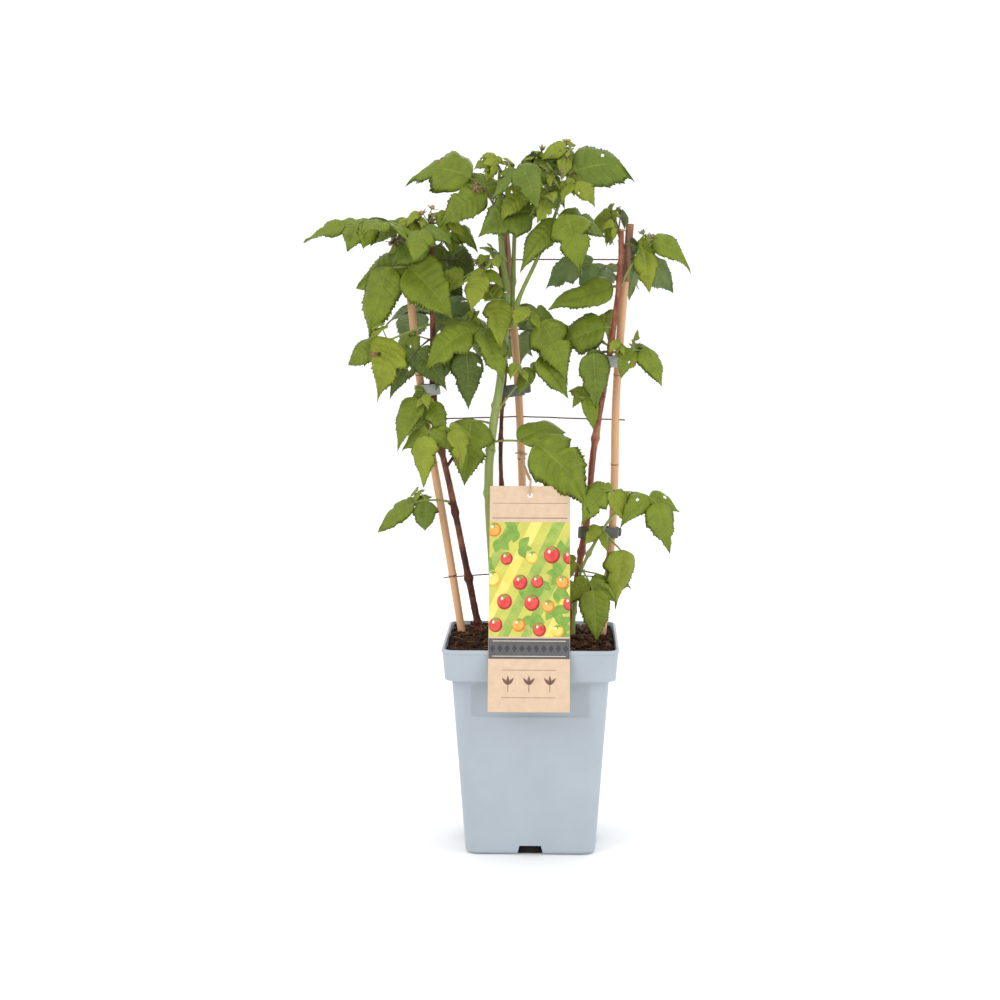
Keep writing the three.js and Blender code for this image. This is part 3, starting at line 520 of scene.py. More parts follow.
def leaf_quilt(name):
    """A leaf's puckered skin: small cushions between fine veins, and soft changes of green."""
    tree, source, sink, place = effect_group(
        name,
        {"Colour": (0.2, 0.3, 0.05), "Blotch": (0.1, 0.2, 0.03), "Crease": (0.3, 0.4, 0.1)},
        {"Blotch size": 60.0, "Cushion size": 400.0, "Roughness": 0.5},
    )
    blotch = node(tree, "TexNoise", Detail=4.0, Roughness=0.6)
    spread = node(tree, "MapRange", From_Min=0.34, From_Max=0.66)
    first = node(tree, "Mix", data_type="RGBA")
    cushion = node(tree, "TexVoronoi", feature="DISTANCE_TO_EDGE")
    near = node(tree, "MapRange", From_Max=0.16, To_Min=0.42, To_Max=0.0)
    second = node(tree, "Mix", data_type="RGBA")
    rough = math_node(tree, "MULTIPLY_ADD", 0.2)
    dome = math_node(tree, "POWER", 0.5)
    wire_up(
        tree,
        (place, "Object", blotch, "Vector"), (source, "Blotch size", blotch, "Scale"),
        (place, "Object", cushion, "Vector"), (source, "Cushion size", cushion, "Scale"),
        (blotch, "Fac", spread, "Value"), (spread, "Result", first, MIX_FACTOR),
        (source, "Colour", first, MIX_A), (source, "Blotch", first, MIX_B),
        (cushion, "Distance", near, "Value"), (near, "Result", second, MIX_FACTOR),
        (first, MIX_RESULT, second, MIX_A), (source, "Crease", second, MIX_B),
        (blotch, "Fac", rough, 0), (source, "Roughness", rough, 2), (cushion, "Distance", dome, 0),
        (second, MIX_RESULT, sink, "Colour"), (rough, "Value", sink, "Roughness"),
        (dome, "Value", sink, "Height"),
    )


def stem_streaks(name):
    """Long streaks that run up a stem or rod, with rubbed patches and a fibrous height."""
    tree, source, sink, place = effect_group(
        name,
        {"Colour": (0.5, 0.5, 0.5), "Streak": (0.4, 0.4, 0.4), "Patch": (0.3, 0.3, 0.3)},
        {"Streak size": 400.0, "Patch share": 0.3, "Roughness": 0.5},
    )
    stretch = node(tree, "Mapping", Scale=(1, 1, 0.06))
    streak = node(tree, "TexNoise", Detail=5.0, Roughness=0.65)
    patch = node(tree, "TexNoise", Scale=55.0, Detail=3.0)
    first = node(tree, "Mix", data_type="RGBA")
    second = node(tree, "Mix", data_type="RGBA")
    sharpen = node(tree, "MapRange", From_Min=0.38, From_Max=0.64)
    cut = node(tree, "MapRange", From_Min=0.48, From_Max=0.66)
    share = math_node(tree, "MULTIPLY")
    rough = math_node(tree, "MULTIPLY_ADD", 0.2)
    wire_up(
        tree,
        (place, "Object", stretch, "Vector"), (stretch, "Vector", streak, "Vector"),
        (source, "Streak size", streak, "Scale"), (place, "Object", patch, "Vector"),
        (streak, "Fac", sharpen, "Value"), (sharpen, "Result", first, MIX_FACTOR),
        (source, "Colour", first, MIX_A), (source, "Streak", first, MIX_B),
        (patch, "Fac", cut, "Value"), (cut, "Result", share, 0), (source, "Patch share", share, 1),
        (share, "Value", second, MIX_FACTOR), (first, MIX_RESULT, second, MIX_A),
        (source, "Patch", second, MIX_B), (streak, "Fac", rough, 0), (source, "Roughness", rough, 2),
        (second, MIX_RESULT, sink, "Colour"), (rough, "Value", sink, "Roughness"),
        (streak, "Fac", sink, "Height"),
    )


EFFECTS = {"Soft mottle": soft_mottle, "Leaf quilt": leaf_quilt, "Stem streaks": stem_streaks}


class Finish(NamedTuple):
    """What a material is made of: an effect, the effect's values, its relief and the shader's own values."""

    effect: str
    values: dict
    bump: float
    distance: float
    sockets: dict


def mottled(colour, blotch, blotch_size, grain_size, roughness, bump=0.15, distance=0.0003, **sockets):
    values = {
        "Colour": colour, "Blotch": blotch, "Blotch size": blotch_size, "Grain size": grain_size,
        "Roughness": roughness, "Roughness play": 0.15,
    }
    return Finish("Soft mottle", values, bump, distance, sockets)


def streaked(colour, streak, patch, share, size, roughness, bump=0.3, distance=0.0003, **sockets):
    values = {
        "Colour": colour, "Streak": streak, "Patch": patch, "Streak size": size, "Patch share": share,
        "Roughness": roughness,
    }
    return Finish("Stem streaks", values, bump, distance, sockets)


def quilted(colour, blotch=0.7):
    """A leaf's finish, with soft blotches and pale creases between its cushions."""
    values = {
        "Colour": colour, "Blotch": shade(colour, blotch), "Crease": blend(colour, LEAF_PALE, 0.22),
        "Blotch size": 75, "Cushion size": 420, "Roughness": 0.42,
    }
    return Finish("Leaf quilt", values, 0.55, 0.0006, {"Specular_IOR_Level": 0.3})


def shade(colour, factor):
    return tuple(channel * factor for channel in colour)


def blend(one, other, share):
    return tuple(a + (b - a) * share for a, b in zip(one, other))


# Leaf tints, darkest first: shade, dark and bright are the leaf green with painted shade and painted light,
# for sprays deep in the plant, inner sprays and sprays in full light; young is the new leaves' own
# yellow-green.
TONES = ("shade", "dark", "mid", "bright", "young")
LEAF_PALE = (0.36, 0.42, 0.12)
LEAF_PARTS = {"": 0, "_vein": 0.1, "_rib": 0.26}  # part of a leaflet: how far its tint goes to the pale one


def all_finishes(scene):
    """Every finish by name, in the colours that the settings give."""
    pot, plant, card = scene.raspberry_pot, scene.raspberry_plant, scene.raspberry_label
    plastic, bamboo, slate = pot.plastic, scene.raspberry_trellis.bamboo, card.slate
    floor = scene.raspberry_stage.floor
    leaves = {
        f"leaf_{tone}{part}": quilted(blend(getattr(plant, "leaf_" + tone), LEAF_PALE, paler))
        for tone in TONES
        for part, paler in LEAF_PARTS.items()
    }
    return leaves | {
        "pot_plastic": mottled(plastic, shade(plastic, 0.94), 22, 2600, 0.42, 0.05, Specular_IOR_Level=0.45),
        # The panel's finish: a duller grain, and a darker tint that is painted shade from the collar's
        # overhang.
        "pot_panel": mottled(
            shade(plastic, 0.92), shade(plastic, 0.87), 22, 2600, 0.5, 0.08, Specular_IOR_Level=0.4,
        ),
        # Near black: painted shade, for the backs of the drain niches and the floor of each rod's hollow top.
        "drain_dark": mottled((0.006, 0.005, 0.004), (0.012, 0.008, 0.005), 200, 900, 0.9),
        "compost_dark": mottled(
            pot.compost, shade(pot.compost, 0.3), 260, 1400, 0.78, 0.9, 0.0012, Specular_IOR_Level=0.1,
        ),
        "compost_rust": mottled(
            (0.12, 0.048, 0.02), (0.04, 0.015, 0.007), 300, 1600, 0.7, 0.6, 0.0006, Specular_IOR_Level=0.15,
        ),
        "compost_black": mottled(
            (0.014, 0.007, 0.004), (0.03, 0.013, 0.007), 300, 1600, 0.65, 0.6, Specular_IOR_Level=0.15,
        ),
        "fibre": mottled((0.33, 0.19, 0.1), (0.16, 0.08, 0.04), 400, 1500, 0.7),
        "bamboo": streaked(bamboo, shade(bamboo, 0.55), (0.33, 0.145, 0.06), 0.85, 520, 0.34, 0.25),
        "bamboo_aged": streaked(shade(bamboo, 0.6), (0.17, 0.055, 0.028), (0.4, 0.2, 0.11), 0.5, 420, 0.38),
        "bamboo_node": streaked((0.3, 0.15, 0.07), (0.17, 0.075, 0.035), (0.5, 0.33, 0.2), 0.5, 700, 0.5),
        "bamboo_cut": mottled((0.6, 0.42, 0.25), (0.4, 0.24, 0.12), 500, 2500, 0.7, 0.4),
        "wire": mottled((0.075, 0.028, 0.02), (0.03, 0.016, 0.012), 300, 2000, 0.5, Metallic=0.3),
        "wire_end": mottled((0.45, 0.4, 0.36), (0.25, 0.2, 0.17), 400, 2000, 0.4, Metallic=0.6),
        "bark_dark": streaked(
            (0.105, 0.024, 0.013), (0.035, 0.01, 0.007), (0.27, 0.1, 0.05), 0.7, 420, 0.5, 0.7, 0.0006,
            Specular_IOR_Level=0.3,
        ),
        "bark_red": streaked(
            (0.3, 0.075, 0.03), (0.1, 0.02, 0.01), (0.46, 0.21, 0.1), 0.65, 420, 0.42, 0.55, 0.0004,
        ),
        "cane_green": streaked(
            plant.cane_green, shade(plant.cane_green, 0.8), (0.24, 0.34, 0.1), 0.5, 330, 0.42, 0.2,
        ),
        "petiole": streaked((0.24, 0.315, 0.06), (0.16, 0.22, 0.045), (0.26, 0.15, 0.06), 0.4, 700, 0.45),
        # Darker stalks for sprays in shade: painted shade.
        "petiole_dark": streaked((0.07, 0.07, 0.03), (0.05, 0.03, 0.02), (0.12, 0.13, 0.05), 0.5, 700, 0.5),
        "petiole_red": streaked((0.19, 0.085, 0.045), (0.1, 0.04, 0.03), (0.18, 0.2, 0.06), 0.6, 700, 0.5),
        "prickle": mottled((0.13, 0.045, 0.03), (0.2, 0.11, 0.06), 900, 3000, 0.45),
        "dry_tip": streaked((0.33, 0.17, 0.11), (0.17, 0.08, 0.05), (0.5, 0.36, 0.25), 0.6, 600, 0.8),
        "leaf_dry": mottled((0.15, 0.075, 0.025), (0.27, 0.17, 0.06), 220, 1800, 0.7, 0.5),
        "leaf_under": mottled((0.15, 0.22, 0.06), (0.11, 0.17, 0.04), 80, 1800, 0.75, 0.3, Sheen_Weight=0.25),
        "sepal": mottled((0.28, 0.32, 0.12), (0.2, 0.17, 0.07), 500, 2500, 0.7),
        "sepal_dry": mottled((0.4, 0.32, 0.15), (0.15, 0.08, 0.04), 420, 2500, 0.8),
        "bud": mottled((0.3, 0.3, 0.13), (0.16, 0.09, 0.05), 500, 2500, 0.7),
        "band_dark": mottled((0.085, 0.09, 0.07), (0.06, 0.065, 0.05), 150, 1500, 0.4),
        "band_clear": mottled((0.42, 0.44, 0.41), (0.3, 0.33, 0.3), 150, 1500, 0.3, Alpha=0.9),
        "card_kraft": mottled(card.kraft, shade(card.kraft, 0.9), 140, 3200, 0.75, 0.2),
        "paper_tie": mottled((0.62, 0.43, 0.28), (0.4, 0.25, 0.15), 420, 2500, 0.8, 0.4),
        "ink_brown": mottled((0.16, 0.085, 0.06), (0.2, 0.11, 0.08), 300, 3000, 0.7),
        "ink_slate": mottled(slate, shade(slate, 0.85), 200, 3000, 0.6),
        "ink_slate_dark": mottled(shade(slate, 0.45), shade(slate, 0.4), 200, 3000, 0.6),
        "ink_lime": mottled(card.lime, (0.5, 0.5, 0.09), 60, 3000, 0.5),
        "ink_leaf": mottled((0.25, 0.4, 0.06), (0.42, 0.5, 0.1), 90, 3000, 0.5),
        "ink_fern": mottled((0.16, 0.31, 0.035), (0.24, 0.4, 0.06), 120, 3000, 0.5),
        "ink_red_deep": mottled((0.33, 0.008, 0.014), (0.42, 0.02, 0.02), 140, 3000, 0.45),
        "ink_orange_deep": mottled((0.66, 0.12, 0.012), (0.7, 0.2, 0.02), 140, 3000, 0.45),
        "ink_yellow_deep": mottled((0.74, 0.36, 0.02), (0.78, 0.45, 0.05), 140, 3000, 0.45),
        "ink_yellow": mottled((0.83, 0.62, 0.1), (0.85, 0.74, 0.2), 90, 3000, 0.5),
        "ink_red": mottled((0.62, 0.03, 0.03), (0.78, 0.1, 0.07), 140, 3000, 0.45),
        "ink_orange": mottled((0.85, 0.3, 0.03), (0.88, 0.47, 0.1), 140, 3000, 0.45),
        "ink_pale": mottled((0.85, 0.75, 0.6), (0.9, 0.82, 0.7), 140, 3000, 0.5),
        "floor_pale": mottled(floor, shade(floor, 0.99), 4, 60, 0.85, 0.0),
    }


def finish_named(name):
    """The material of that name, made the first time it is asked for."""
    material = bpy.data.materials.get(name)
    if material:
        return material
    finish = all_finishes(bpy.context.scene)[name]
    if finish.effect not in bpy.data.node_groups:
        EFFECTS[finish.effect](finish.effect)
    material = bpy.data.materials.new(name)
    material.use_nodes = True
    tree = material.node_tree
    shader = tree.nodes["Principled BSDF"]
    effect = node(tree, "Group")
    effect.node_tree = bpy.data.node_groups[finish.effect]
    for key, value in finish.values.items():
        effect.inputs[key].default_value = value if isinstance(value, (int, float)) else (*value, 1)
    relief = node(tree, "Bump", Strength=finish.bump, Distance=finish.distance)
    wire_up(
        tree,
        (effect, "Colour", shader, "Base Color"), (effect, "Roughness", shader, "Roughness"),
        (effect, "Height", relief, "Height"), (relief, "Normal", shader, "Normal"),
    )
    for key, value in finish.sockets.items():
        shader.inputs[key.replace("_", " ")].default_value = value
    return material


# ---- limbs -------------------------------------------------------------------------------------


class Limb:
    """A smooth path through its bends, with a radius that runs evenly from foot to tip."""

    def __init__(self, bends, radii):
        self.bends = [Vector(bend) for bend in bends]
        self.radii = radii
        marks = [self.point(i / 200) for i in range(201)]
        self.length = sum((b - a).length for a, b in zip(marks, marks[1:]))

    def point(self, t):
        last = len(self.bends) - 1
        place = min(max(t, 0), 1) * last
        index = min(int(place), last - 1)
        w = place - index
        b, c = self.bends[index], self.bends[index + 1]
        a = self.bends[index - 1] if index > 0 else b * 2 - c
        d = self.bends[index + 2] if index + 2 <= last else c * 2 - b
        leave, arrive = (c - a) * 0.5, (d - b) * 0.5
        cubic = b * 2 - c * 2 + leave + arrive
        square = c * 3 - b * 3 - leave * 2 - arrive
        return b + leave * w + square * (w * w) + cubic * (w * w * w)

    def radius(self, t):
        return self.radii[0] + (self.radii[1] - self.radii[0]) * t

    def along(self, t):
        return (self.point(min(t + 0.01, 1)) - self.point(max(t - 0.01, 0))).normalized()

    def at_height(self, z):
        low, high = 0.0, 1.0
        for _ in range(30):
            middle = (low + high) / 2
            if self.point(middle).z < z:
                low = middle
            else:
                high = middle
        return low

    def point_at(self, z):
        return self.point(self.at_height(z))

    def nodes(self, spacing):
        """Where its swollen nodes are, as t."""
        return [(i * spacing - spacing / 2) / self.length for i in range(1, int(self.length // spacing) + 1)]


LIMBS = {name: Limb(bends, (BAMBOO_RADIUS, BAMBOO_RADIUS)) for name, bends in RODS.items()}
LIMBS |= {name: Limb(bends, radii) for name, (bends, radii) in CANES.items()}


# ---- pot and compost ---------------------------------------------------------------------------

COLLAR_FOOT_Z = RIM_HEIGHT - COLLAR_DEPTH
SHOULDER_Z = COLLAR_FOOT_Z - SHOULDER_DEPTH


def body_width(z):
    return BASE_WIDTH + (SHOULDER_WIDTH - BASE_WIDTH) * z / SHOULDER_Z


def collar_width(z):
    return COLLAR_FOOT_WIDTH + (RIM_WIDTH - COLLAR_FOOT_WIDTH) * (z - COLLAR_FOOT_Z) / COLLAR_DEPTH


COMPOST_HALF = collar_width(COMPOST_EDGE) / 2 - WALL


def square_ring(width, z, radius=CORNER_RADIUS):
    """A rounded square, with points along its sides as well as round its corners."""
    ring = []
    inset = width / 2 - radius
    for sign_x, sign_y, start in ((1, 1, 0), (-1, 1, 90), (-1, -1, 180), (1, -1, 270)):
        for angle in arc(CORNER_STEPS, start, start + 90):
            x, y = sign_x * inset + radius * math.cos(angle), sign_y * inset + radius * math.sin(angle)
            ring.append(Vector((x, y, z)))
        turn = math.radians(start + 90)
        forward = Vector((-math.sin(turn), math.cos(turn), 0))
        middle = ring[-1] + forward * inset
        ring.extend(middle + forward * (mark * min(inset / SIDE_FLAT, 1)) for mark in SIDE_MARKS)
    return ring


def panel_share(p):
    """How far down in a side's panel a point of the body is, from 0 at its edge to 1; it also picks the faces
    that take the panel's painted shade.
    """
    level = smooth(PANEL["low"], PANEL["low"] + PANEL["edge"], p.z)
    level *= smooth(PANEL["high"], PANEL["high"] - PANEL["top_edge"], p.z)
    return level * smooth(PANEL["half"], PANEL["half"] - PANEL["edge"], min(abs(p.x), abs(p.y)))


def with_panel(ring):
    """Sinks a shallow panel into the middle of each side of the pot's body."""
    sunk = []
    for p in ring:
        depth = PANEL["depth"] * panel_share(p)
        if abs(p.x) > abs(p.y):
            sunk.append(Vector((p.x - math.copysign(depth, p.x), p.y, p.z)))
        else:
            sunk.append(Vector((p.x, p.y - math.copysign(depth, p.y), p.z)))
    return sunk


def pot_rings():
    """The pot's skin: from the middle of its base up the outside, over the lip and down the inside."""
    middle_width, middle_radius = BASE_MIDDLE
    rings = [
        square_ring(middle_width, 0, middle_radius),
        square_ring(BASE_WIDTH - 2 * BASE_ROUND, 0, CORNER_RADIUS - BASE_ROUND),
    ]
    for angle in arc(5, 15, 90):
        inward, up = BASE_ROUND * (1 - math.sin(angle)), BASE_ROUND * (1 - math.cos(angle))
        rings.append(square_ring(body_width(BASE_ROUND) - 2 * inward, up, CORNER_RADIUS - inward))
    panel_foot = range(PANEL["low"] - 1, PANEL["low"] + PANEL["edge"] + 2)
    for z in (8, 12, 24, 40, 60, 80, 100, 120, 134, *panel_foot, 146, 154, 162, 169, 170, 171, 172.3):
        rings.append(with_panel(square_ring(body_width(z), z)))
    for angle in arc(3, 0, 90):
        out, up = SHOULDER_ROUND * (1 - math.cos(angle)), SHOULDER_ROUND * math.sin(angle)
        rings.append(square_ring(SHOULDER_WIDTH - 0.1 + 2 * out, SHOULDER_Z - 0.4 + up))
    for angle in arc(4, 0, 90):
        inward, up = COLLAR_ROUND * (1 - math.sin(angle)), COLLAR_ROUND * (1 - math.cos(angle))
        rings.append(square_ring(COLLAR_FOOT_WIDTH - 2 * inward, COLLAR_FOOT_Z - 0.8 + up))
    lip_foot = RIM_HEIGHT - LIP_DEPTH
    for z in (COLLAR_FOOT_Z + 4, COLLAR_FOOT_Z + 14, COLLAR_FOOT_Z + 22, lip_foot - 0.6):
        rings.append(square_ring(collar_width(z), z))
    lip = RIM_WIDTH + 2 * LIP_PROUD
    rings += [square_ring(lip - 0.3, lip_foot), square_ring(lip, lip_foot + 0.5)]
    for angle in arc(5, 0, 90):
        inward, down = COLLAR_ROUND * (1 - math.cos(angle)), COLLAR_ROUND * (1 - math.sin(angle))
        rings.append(square_ring(lip - 2 * inward, RIM_HEIGHT - down))
    for z, width in (
        (RIM_HEIGHT, RIM_WIDTH + 0.8),
        (RIM_HEIGHT - 0.5, RIM_WIDTH),
        (RIM_HEIGHT - 12, collar_width(RIM_HEIGHT - 12)),
        (COLLAR_FOOT_Z + WALL, COLLAR_FOOT_WIDTH),
        (SHOULDER_Z, SHOULDER_WIDTH),
        (FLOOR, body_width(FLOOR)),
    ):
        rings.append(square_ring(width - 2 * WALL, z, CORNER_RADIUS - WALL))
    return rings


def niche_wedge(grow, low, deep, front=-8, least_z=-math.inf):
    """The drain cut at the foot of each side: a closed wedge from front to deep, from the base's edge."""
    foot, head, top = NICHE["bottom"] / 2 + grow, NICHE["top"] / 2 + grow, NICHE["height"] + grow
    outline = [(-foot, low), (foot, low), (head, top), (-head, top)]
    points = [Vector((x, y - BASE_WIDTH / 2, max(z, least_z))) for y in (front, deep) for x, z in outline]
    faces = [(0, 1, 2, 3), (7, 6, 5, 4)] + [(i, i + 4, (i + 1) % 4 + 4, (i + 1) % 4) for i in range(4)]
    return points, faces


def on_each_side(wedge, finish):
    points, faces = wedge
    sculpt = Sculpt()
    for side in range(4):
        turn = Matrix.Rotation(math.radians(90 * side), 3, "Z")
        sculpt.add([turn @ p for p in points], faces, finish)
    return sculpt


def cut_by(piece, cutter, kind):
    """Joins or cuts a piece with another, which is then removed."""
    modifier = piece.modifiers.new("cut", "BOOLEAN")
    modifier.operation = kind
    modifier.solver = "EXACT"
    modifier.object = cutter
    bpy.context.view_layer.update()
    cut = bpy.data.meshes.new_from_object(piece.evaluated_get(bpy.context.evaluated_depsgraph_get()))
    piece.modifiers.clear()
    piece.data = cut
    bpy.data.objects.remove(cutter)


def compost_height(x, y):
    wave_x = math.sin(2 * math.pi * (x + LUMPS["shift_x"]) / LUMPS["length_x"])
    wave_y = math.cos(2 * math.pi * (y + LUMPS["shift_y"]) / LUMPS["length_y"])
    dx = (x - MOUND["x"]) / MOUND["spread"]
    dy = (y - MOUND["y"]) / MOUND["spread"]
    level = COMPOST_LEVEL + LUMPS["height"] * wave_x * wave_y + MOUND["height"] * math.exp(-dx * dx - dy * dy)
    return level - COMPOST_DROOP * smooth(0.9, 1.02, max(abs(x), abs(y)) / COMPOST_HALF)


def crumbly_height(x, y):
    """The compost's surface with its clods, crumbs and hollows."""
    place = Vector((x, y, 0))
    rough = sum(noise.noise(place / across + Vector(start)) * high for across, high, start in GRAINS)
    return compost_height(x, y) + rough - 0.4


def compost_bed():
    """A closed block with a crumbly top, in squares whose corners are drawn in to the pot's."""
    sculpt = Sculpt()
    steps = COMPOST_STEPS
    half = COMPOST_HALF - COMPOST_AIR
    straight = half - (CORNER_RADIUS - WALL)
    top, bottom = [], []
    for j in range(steps + 1):
        for i in range(steps + 1):
            x = half * (2 * i / steps - 1)
            y = half * (2 * j / steps - 1)
            over_x, over_y = abs(x) - straight, abs(y) - straight
            if over_x > 0 and over_y > 0:
                reach = max(over_x, over_y) / math.hypot(over_x, over_y)
                x = math.copysign(straight + over_x * reach, x)
                y = math.copysign(straight + over_y * reach, y)
            top.append(Vector((x, y, crumbly_height(x, y))))
            bottom.append(Vector((x * 0.965, y * 0.965, COMPOST_BED)))
    count = len(top)
    row = steps + 1
    faces = []
    for j in range(steps):
        for i in range(steps):
            a = j * row + i
            faces.append((a, a + 1, a + row + 1, a + row))
            faces.append((count + a, count + a + row, count + a + row + 1, count + a + 1))
    rim = list(range(steps)) + [steps + j * row for j in range(steps)]
    rim += [steps * row + steps - i for i in range(steps)] + [(steps - j) * row for j in range(steps)]
    faces += [(a, count + a, count + b, b) for a, b in looped(rim)]
    sculpt.add(top + bottom, faces, "compost_dark")
    return sculpt


def ball(subdivisions):
    """Points and faces of a round lump."""
    shape = bmesh.new()
    bmesh.ops.create_icosphere(shape, subdivisions=subdivisions, radius=1)
    points = [v.co.copy() for v in shape.verts]
    faces = [tuple(v.index for v in f.verts) for f in shape.faces]
    shape.free()
    return points, faces


def spot_on_compost(random):
    half = COMPOST_HALF - 4
    x, y = half * (2 * random() - 1), half * (2 * random() - 1)
    return Vector((x, y, crumbly_height(x, y)))


def compost_crumbs(random, count):
    sculpt = Sculpt()
    small, large = ball(1), ball(2)
    for _ in range(count):
        spot = spot_on_compost(random)
        size = 0.5 + 2.9 * random() ** 3
        points, faces = large if size > 1.5 else small
        turn = Matrix.Rotation(6.28 * random(), 3, "Z") @ Matrix.Rotation(6.28 * random(), 3, "X")
        stretch = Matrix.Diagonal((1 + 0.9 * random(), 0.6 + 0.5 * random(), 0.45 + 0.4 * random()))
        pick = random()
        finish = "compost_rust" if pick < 0.3 else "compost_black" if pick < 0.55 else "compost_dark"
        centre = spot + Vector((0, 0, 0.25 * size))
        lump = [
            centre + turn @ (stretch @ p) * (size * (1 + 0.55 * noise.noise(p * 1.7 + spot))) for p in points
        ]
        sculpt.add(lump, faces, finish)
    return sculpt


def compost_fibres(random, count):
    """Roots, straw and, one in five, bits of bark that lie on the compost."""
    sculpt = Sculpt()
    steps = 6
    for i in range(count):
        spot = spot_on_compost(random)
        length = 6 + 26 * random()
        yaw = 360 * random()
        lift = 14 * random() * (1 if random() < 0.3 else 0.25)
        woody = i % 5 == 0
        radius = (0.7 + 0.6 * random()) if woody else (0.16 + 0.2 * random())
        path = [spot + Vector((0, 0, radius))]
        bend = 50 * (random() - 0.5)
        for k in range(steps):
            path.append(path[-1] + direction(yaw, lift - 2.2 * lift * k / 5) * (length / steps))
            yaw += bend * (0.4 if woody else 1)
        if any(max(abs(p.x), abs(p.y)) > COMPOST_HALF - 1 or p.z > RIM_HEIGHT + 4 for p in path):
            continue
        radii = [radius * (1 - 0.35 * k / steps) for k in range(steps + 1)]
        sculpt.tube(path, radii, 5 if woody else 3, "compost_rust" if woody else "fibre")
    return sculpt


# ---- trellis, bands and label ------------------------------------------------------------------


def bamboo_rod(sculpt, limb, seed, sides):
    """A rod with its raised nodes, a groove under each, and a hollow sawn top whose floor is painted shade.
    """
    steps = int(limb.length / 3)
    swellings = limb.nodes(BAMBOO_NODE_SPACING)
    marks = (-3, -2, -1.2, -0.7, -0.3, 0, 0.4, 0.9, 1.6, 2.6)
    stations = [i / steps for i in range(steps + 1)]
    stations += [middle + mark / limb.length for middle in swellings for mark in marks]
    stations = sorted(t for t in stations if 0 <= t <= 1)
    path = [limb.point(t) for t in stations]
    radii = []
    for t in stations:
        radius = BAMBOO_RADIUS - 0.12
        for middle in swellings:
            away = (t - middle) * limb.length
            radius += swell(away - 0.4, 0.55, 1.3) - swell(away + 1.0, 0.35, 0.45)
        radii.append(radius)

    def relief(i, angle):
        run = stations[i] * limb.length / 45 + seed
        return 0.16 * noise.noise(Vector((math.cos(angle) * 1.6, math.sin(angle) * 1.6, run)))

    rings = tube_rings(path, radii, sides, relief)
    near = {
        r for r, t in enumerate(stations) for middle in swellings if -1.8 < (t - middle) * limb.length < 0.2
    }
    top, down = rings[-1], -limb.along(1)
    centre = middle_of(top)
    for share, deep in ((0.62, 0), (0.55, 1.5), (0.5, 9)):
        rings.append(drawn_in(top, centre, share, down * deep))
    last = len(path) - 1

    def finish(r, _):
        # The hollow's floor is painted shade, near black.
        if r == -1:
            return "drain_dark"
        if r >= last:
            return "bamboo_cut"
        if r in near:
            return "bamboo_node"
        return "bamboo_aged" if stations[r] > swellings[-1] else "bamboo"

    sculpt.loft(rings, finish)


def trellis_wire(sculpt, height):
    through = [LIMBS[rod].point_at(height) for rod in RODS]
    first = through[0] + (through[0] - through[1]).normalized() * WIRE_OVERHANG
    last = through[2] + (through[2] - through[1]).normalized() * WIRE_OVERHANG
    marks = [first, *through, last]
    path = []
    for a, b in zip(marks, marks[1:]):
        steps = max(int((b - a).length / 6), 3)
        path.extend(a.lerp(b, i / steps) for i in range(steps))
    path.append(last)
    wave = [p + Vector((0, 0, 0.35 * noise.noise(p / 25))) for p in path]
    bare = 5  # rings of the bare end
    rings = tube_rings(wave, [WIRE_RADIUS] * len(wave), 10)
    sculpt.loft(rings, lambda r, _: "wire_end" if r < bare else "wire")


def band_section():
    """A plastic band's rounded cross-section, as (outward, up)."""
    half, thick = TIE_HEIGHT / 2, TIE_THICKNESS / 2
    return [
        (-thick, -half + 0.4), (-thick * 0.3, -half), (thick * 0.3, -half), (thick, -half + 0.4),
        (thick + 0.12, 0), (thick, half - 0.4), (thick * 0.3, half), (-thick * 0.3, half),
        (-thick, half - 0.4), (-thick + 0.12, 0),
    ]


def plastic_band(sculpt, rod, cane, height, tail, finish):
    """A band round a rod and a cane, with a tail that curls a little."""
    start = LIMBS[rod].point_at(height)
    axis_z = (LIMBS[rod].point_at(height + TIE_HEIGHT) - start).normalized()
    axis_x = LIMBS[cane].point_at(height) - start
    span = axis_x.length
    axis_x = (axis_x - axis_z * axis_x.dot(axis_z)).normalized()
    axis_y = axis_z.cross(axis_x)
    radius = TIE_INNER_RADIUS + TIE_THICKNESS / 2
    section = band_section()

    def bow(middle, first):
        """Half a turn, as (x, y, outward x, outward y)."""
        return [
            (middle + radius * math.cos(angle), radius * math.sin(angle), math.cos(angle), math.sin(angle))
            for angle in arc(18, first, first + 180)
        ]

    outline = bow(0, 90) + [(span * i / 6, -radius, 0, -1) for i in range(1, 6)]
    outline += bow(span, -90) + [(span * i / 6, radius, 0, 1) for i in range(5, 0, -1)]
    points = [
        start + axis_x * (x + out_x * out) + axis_y * (y + out_y * out) + axis_z * up
        for x, y, out_x, out_y in outline
        for out, up in section
    ]
    count, total = len(section), len(outline)
    faces = []
    for r in range(total):
        for k in range(count):
            here, there = r * count, (r + 1) % total * count
            faces.append((here + k, here + (k + 1) % count, there + (k + 1) % count, there + k))
    sculpt.add(points, faces, finish)
    steps = 6
    rings = []
    for i in range(steps + 1):
        out = radius - 0.3 + (tail + 0.5) * i / steps
        curl = 0.16 * (i / steps) ** 2 * tail
        narrow = 0.8 if i < steps else 0.62
        middle = start - axis_x * out
        rings.append([middle + axis_y * (curl + side) + axis_z * up * narrow for side, up in section])
    sculpt.loft(rings, finish)


def label_frame():
    """The card's own axes: x across, y up the card, z out of its printed face."""
    turn = Matrix.Rotation(math.radians(90 - LABEL_LEAN), 4, "X")
    back = -(RIM_WIDTH / 2 + LIP_PROUD + LABEL_CLEARANCE)
    low = LABEL_FOOT_Z - RIM_HEIGHT
    place = Vector((LABEL_X, back + low * math.tan(math.radians(LABEL_LEAN)), LABEL_FOOT_Z))
    return Matrix.Translation(place) @ turn


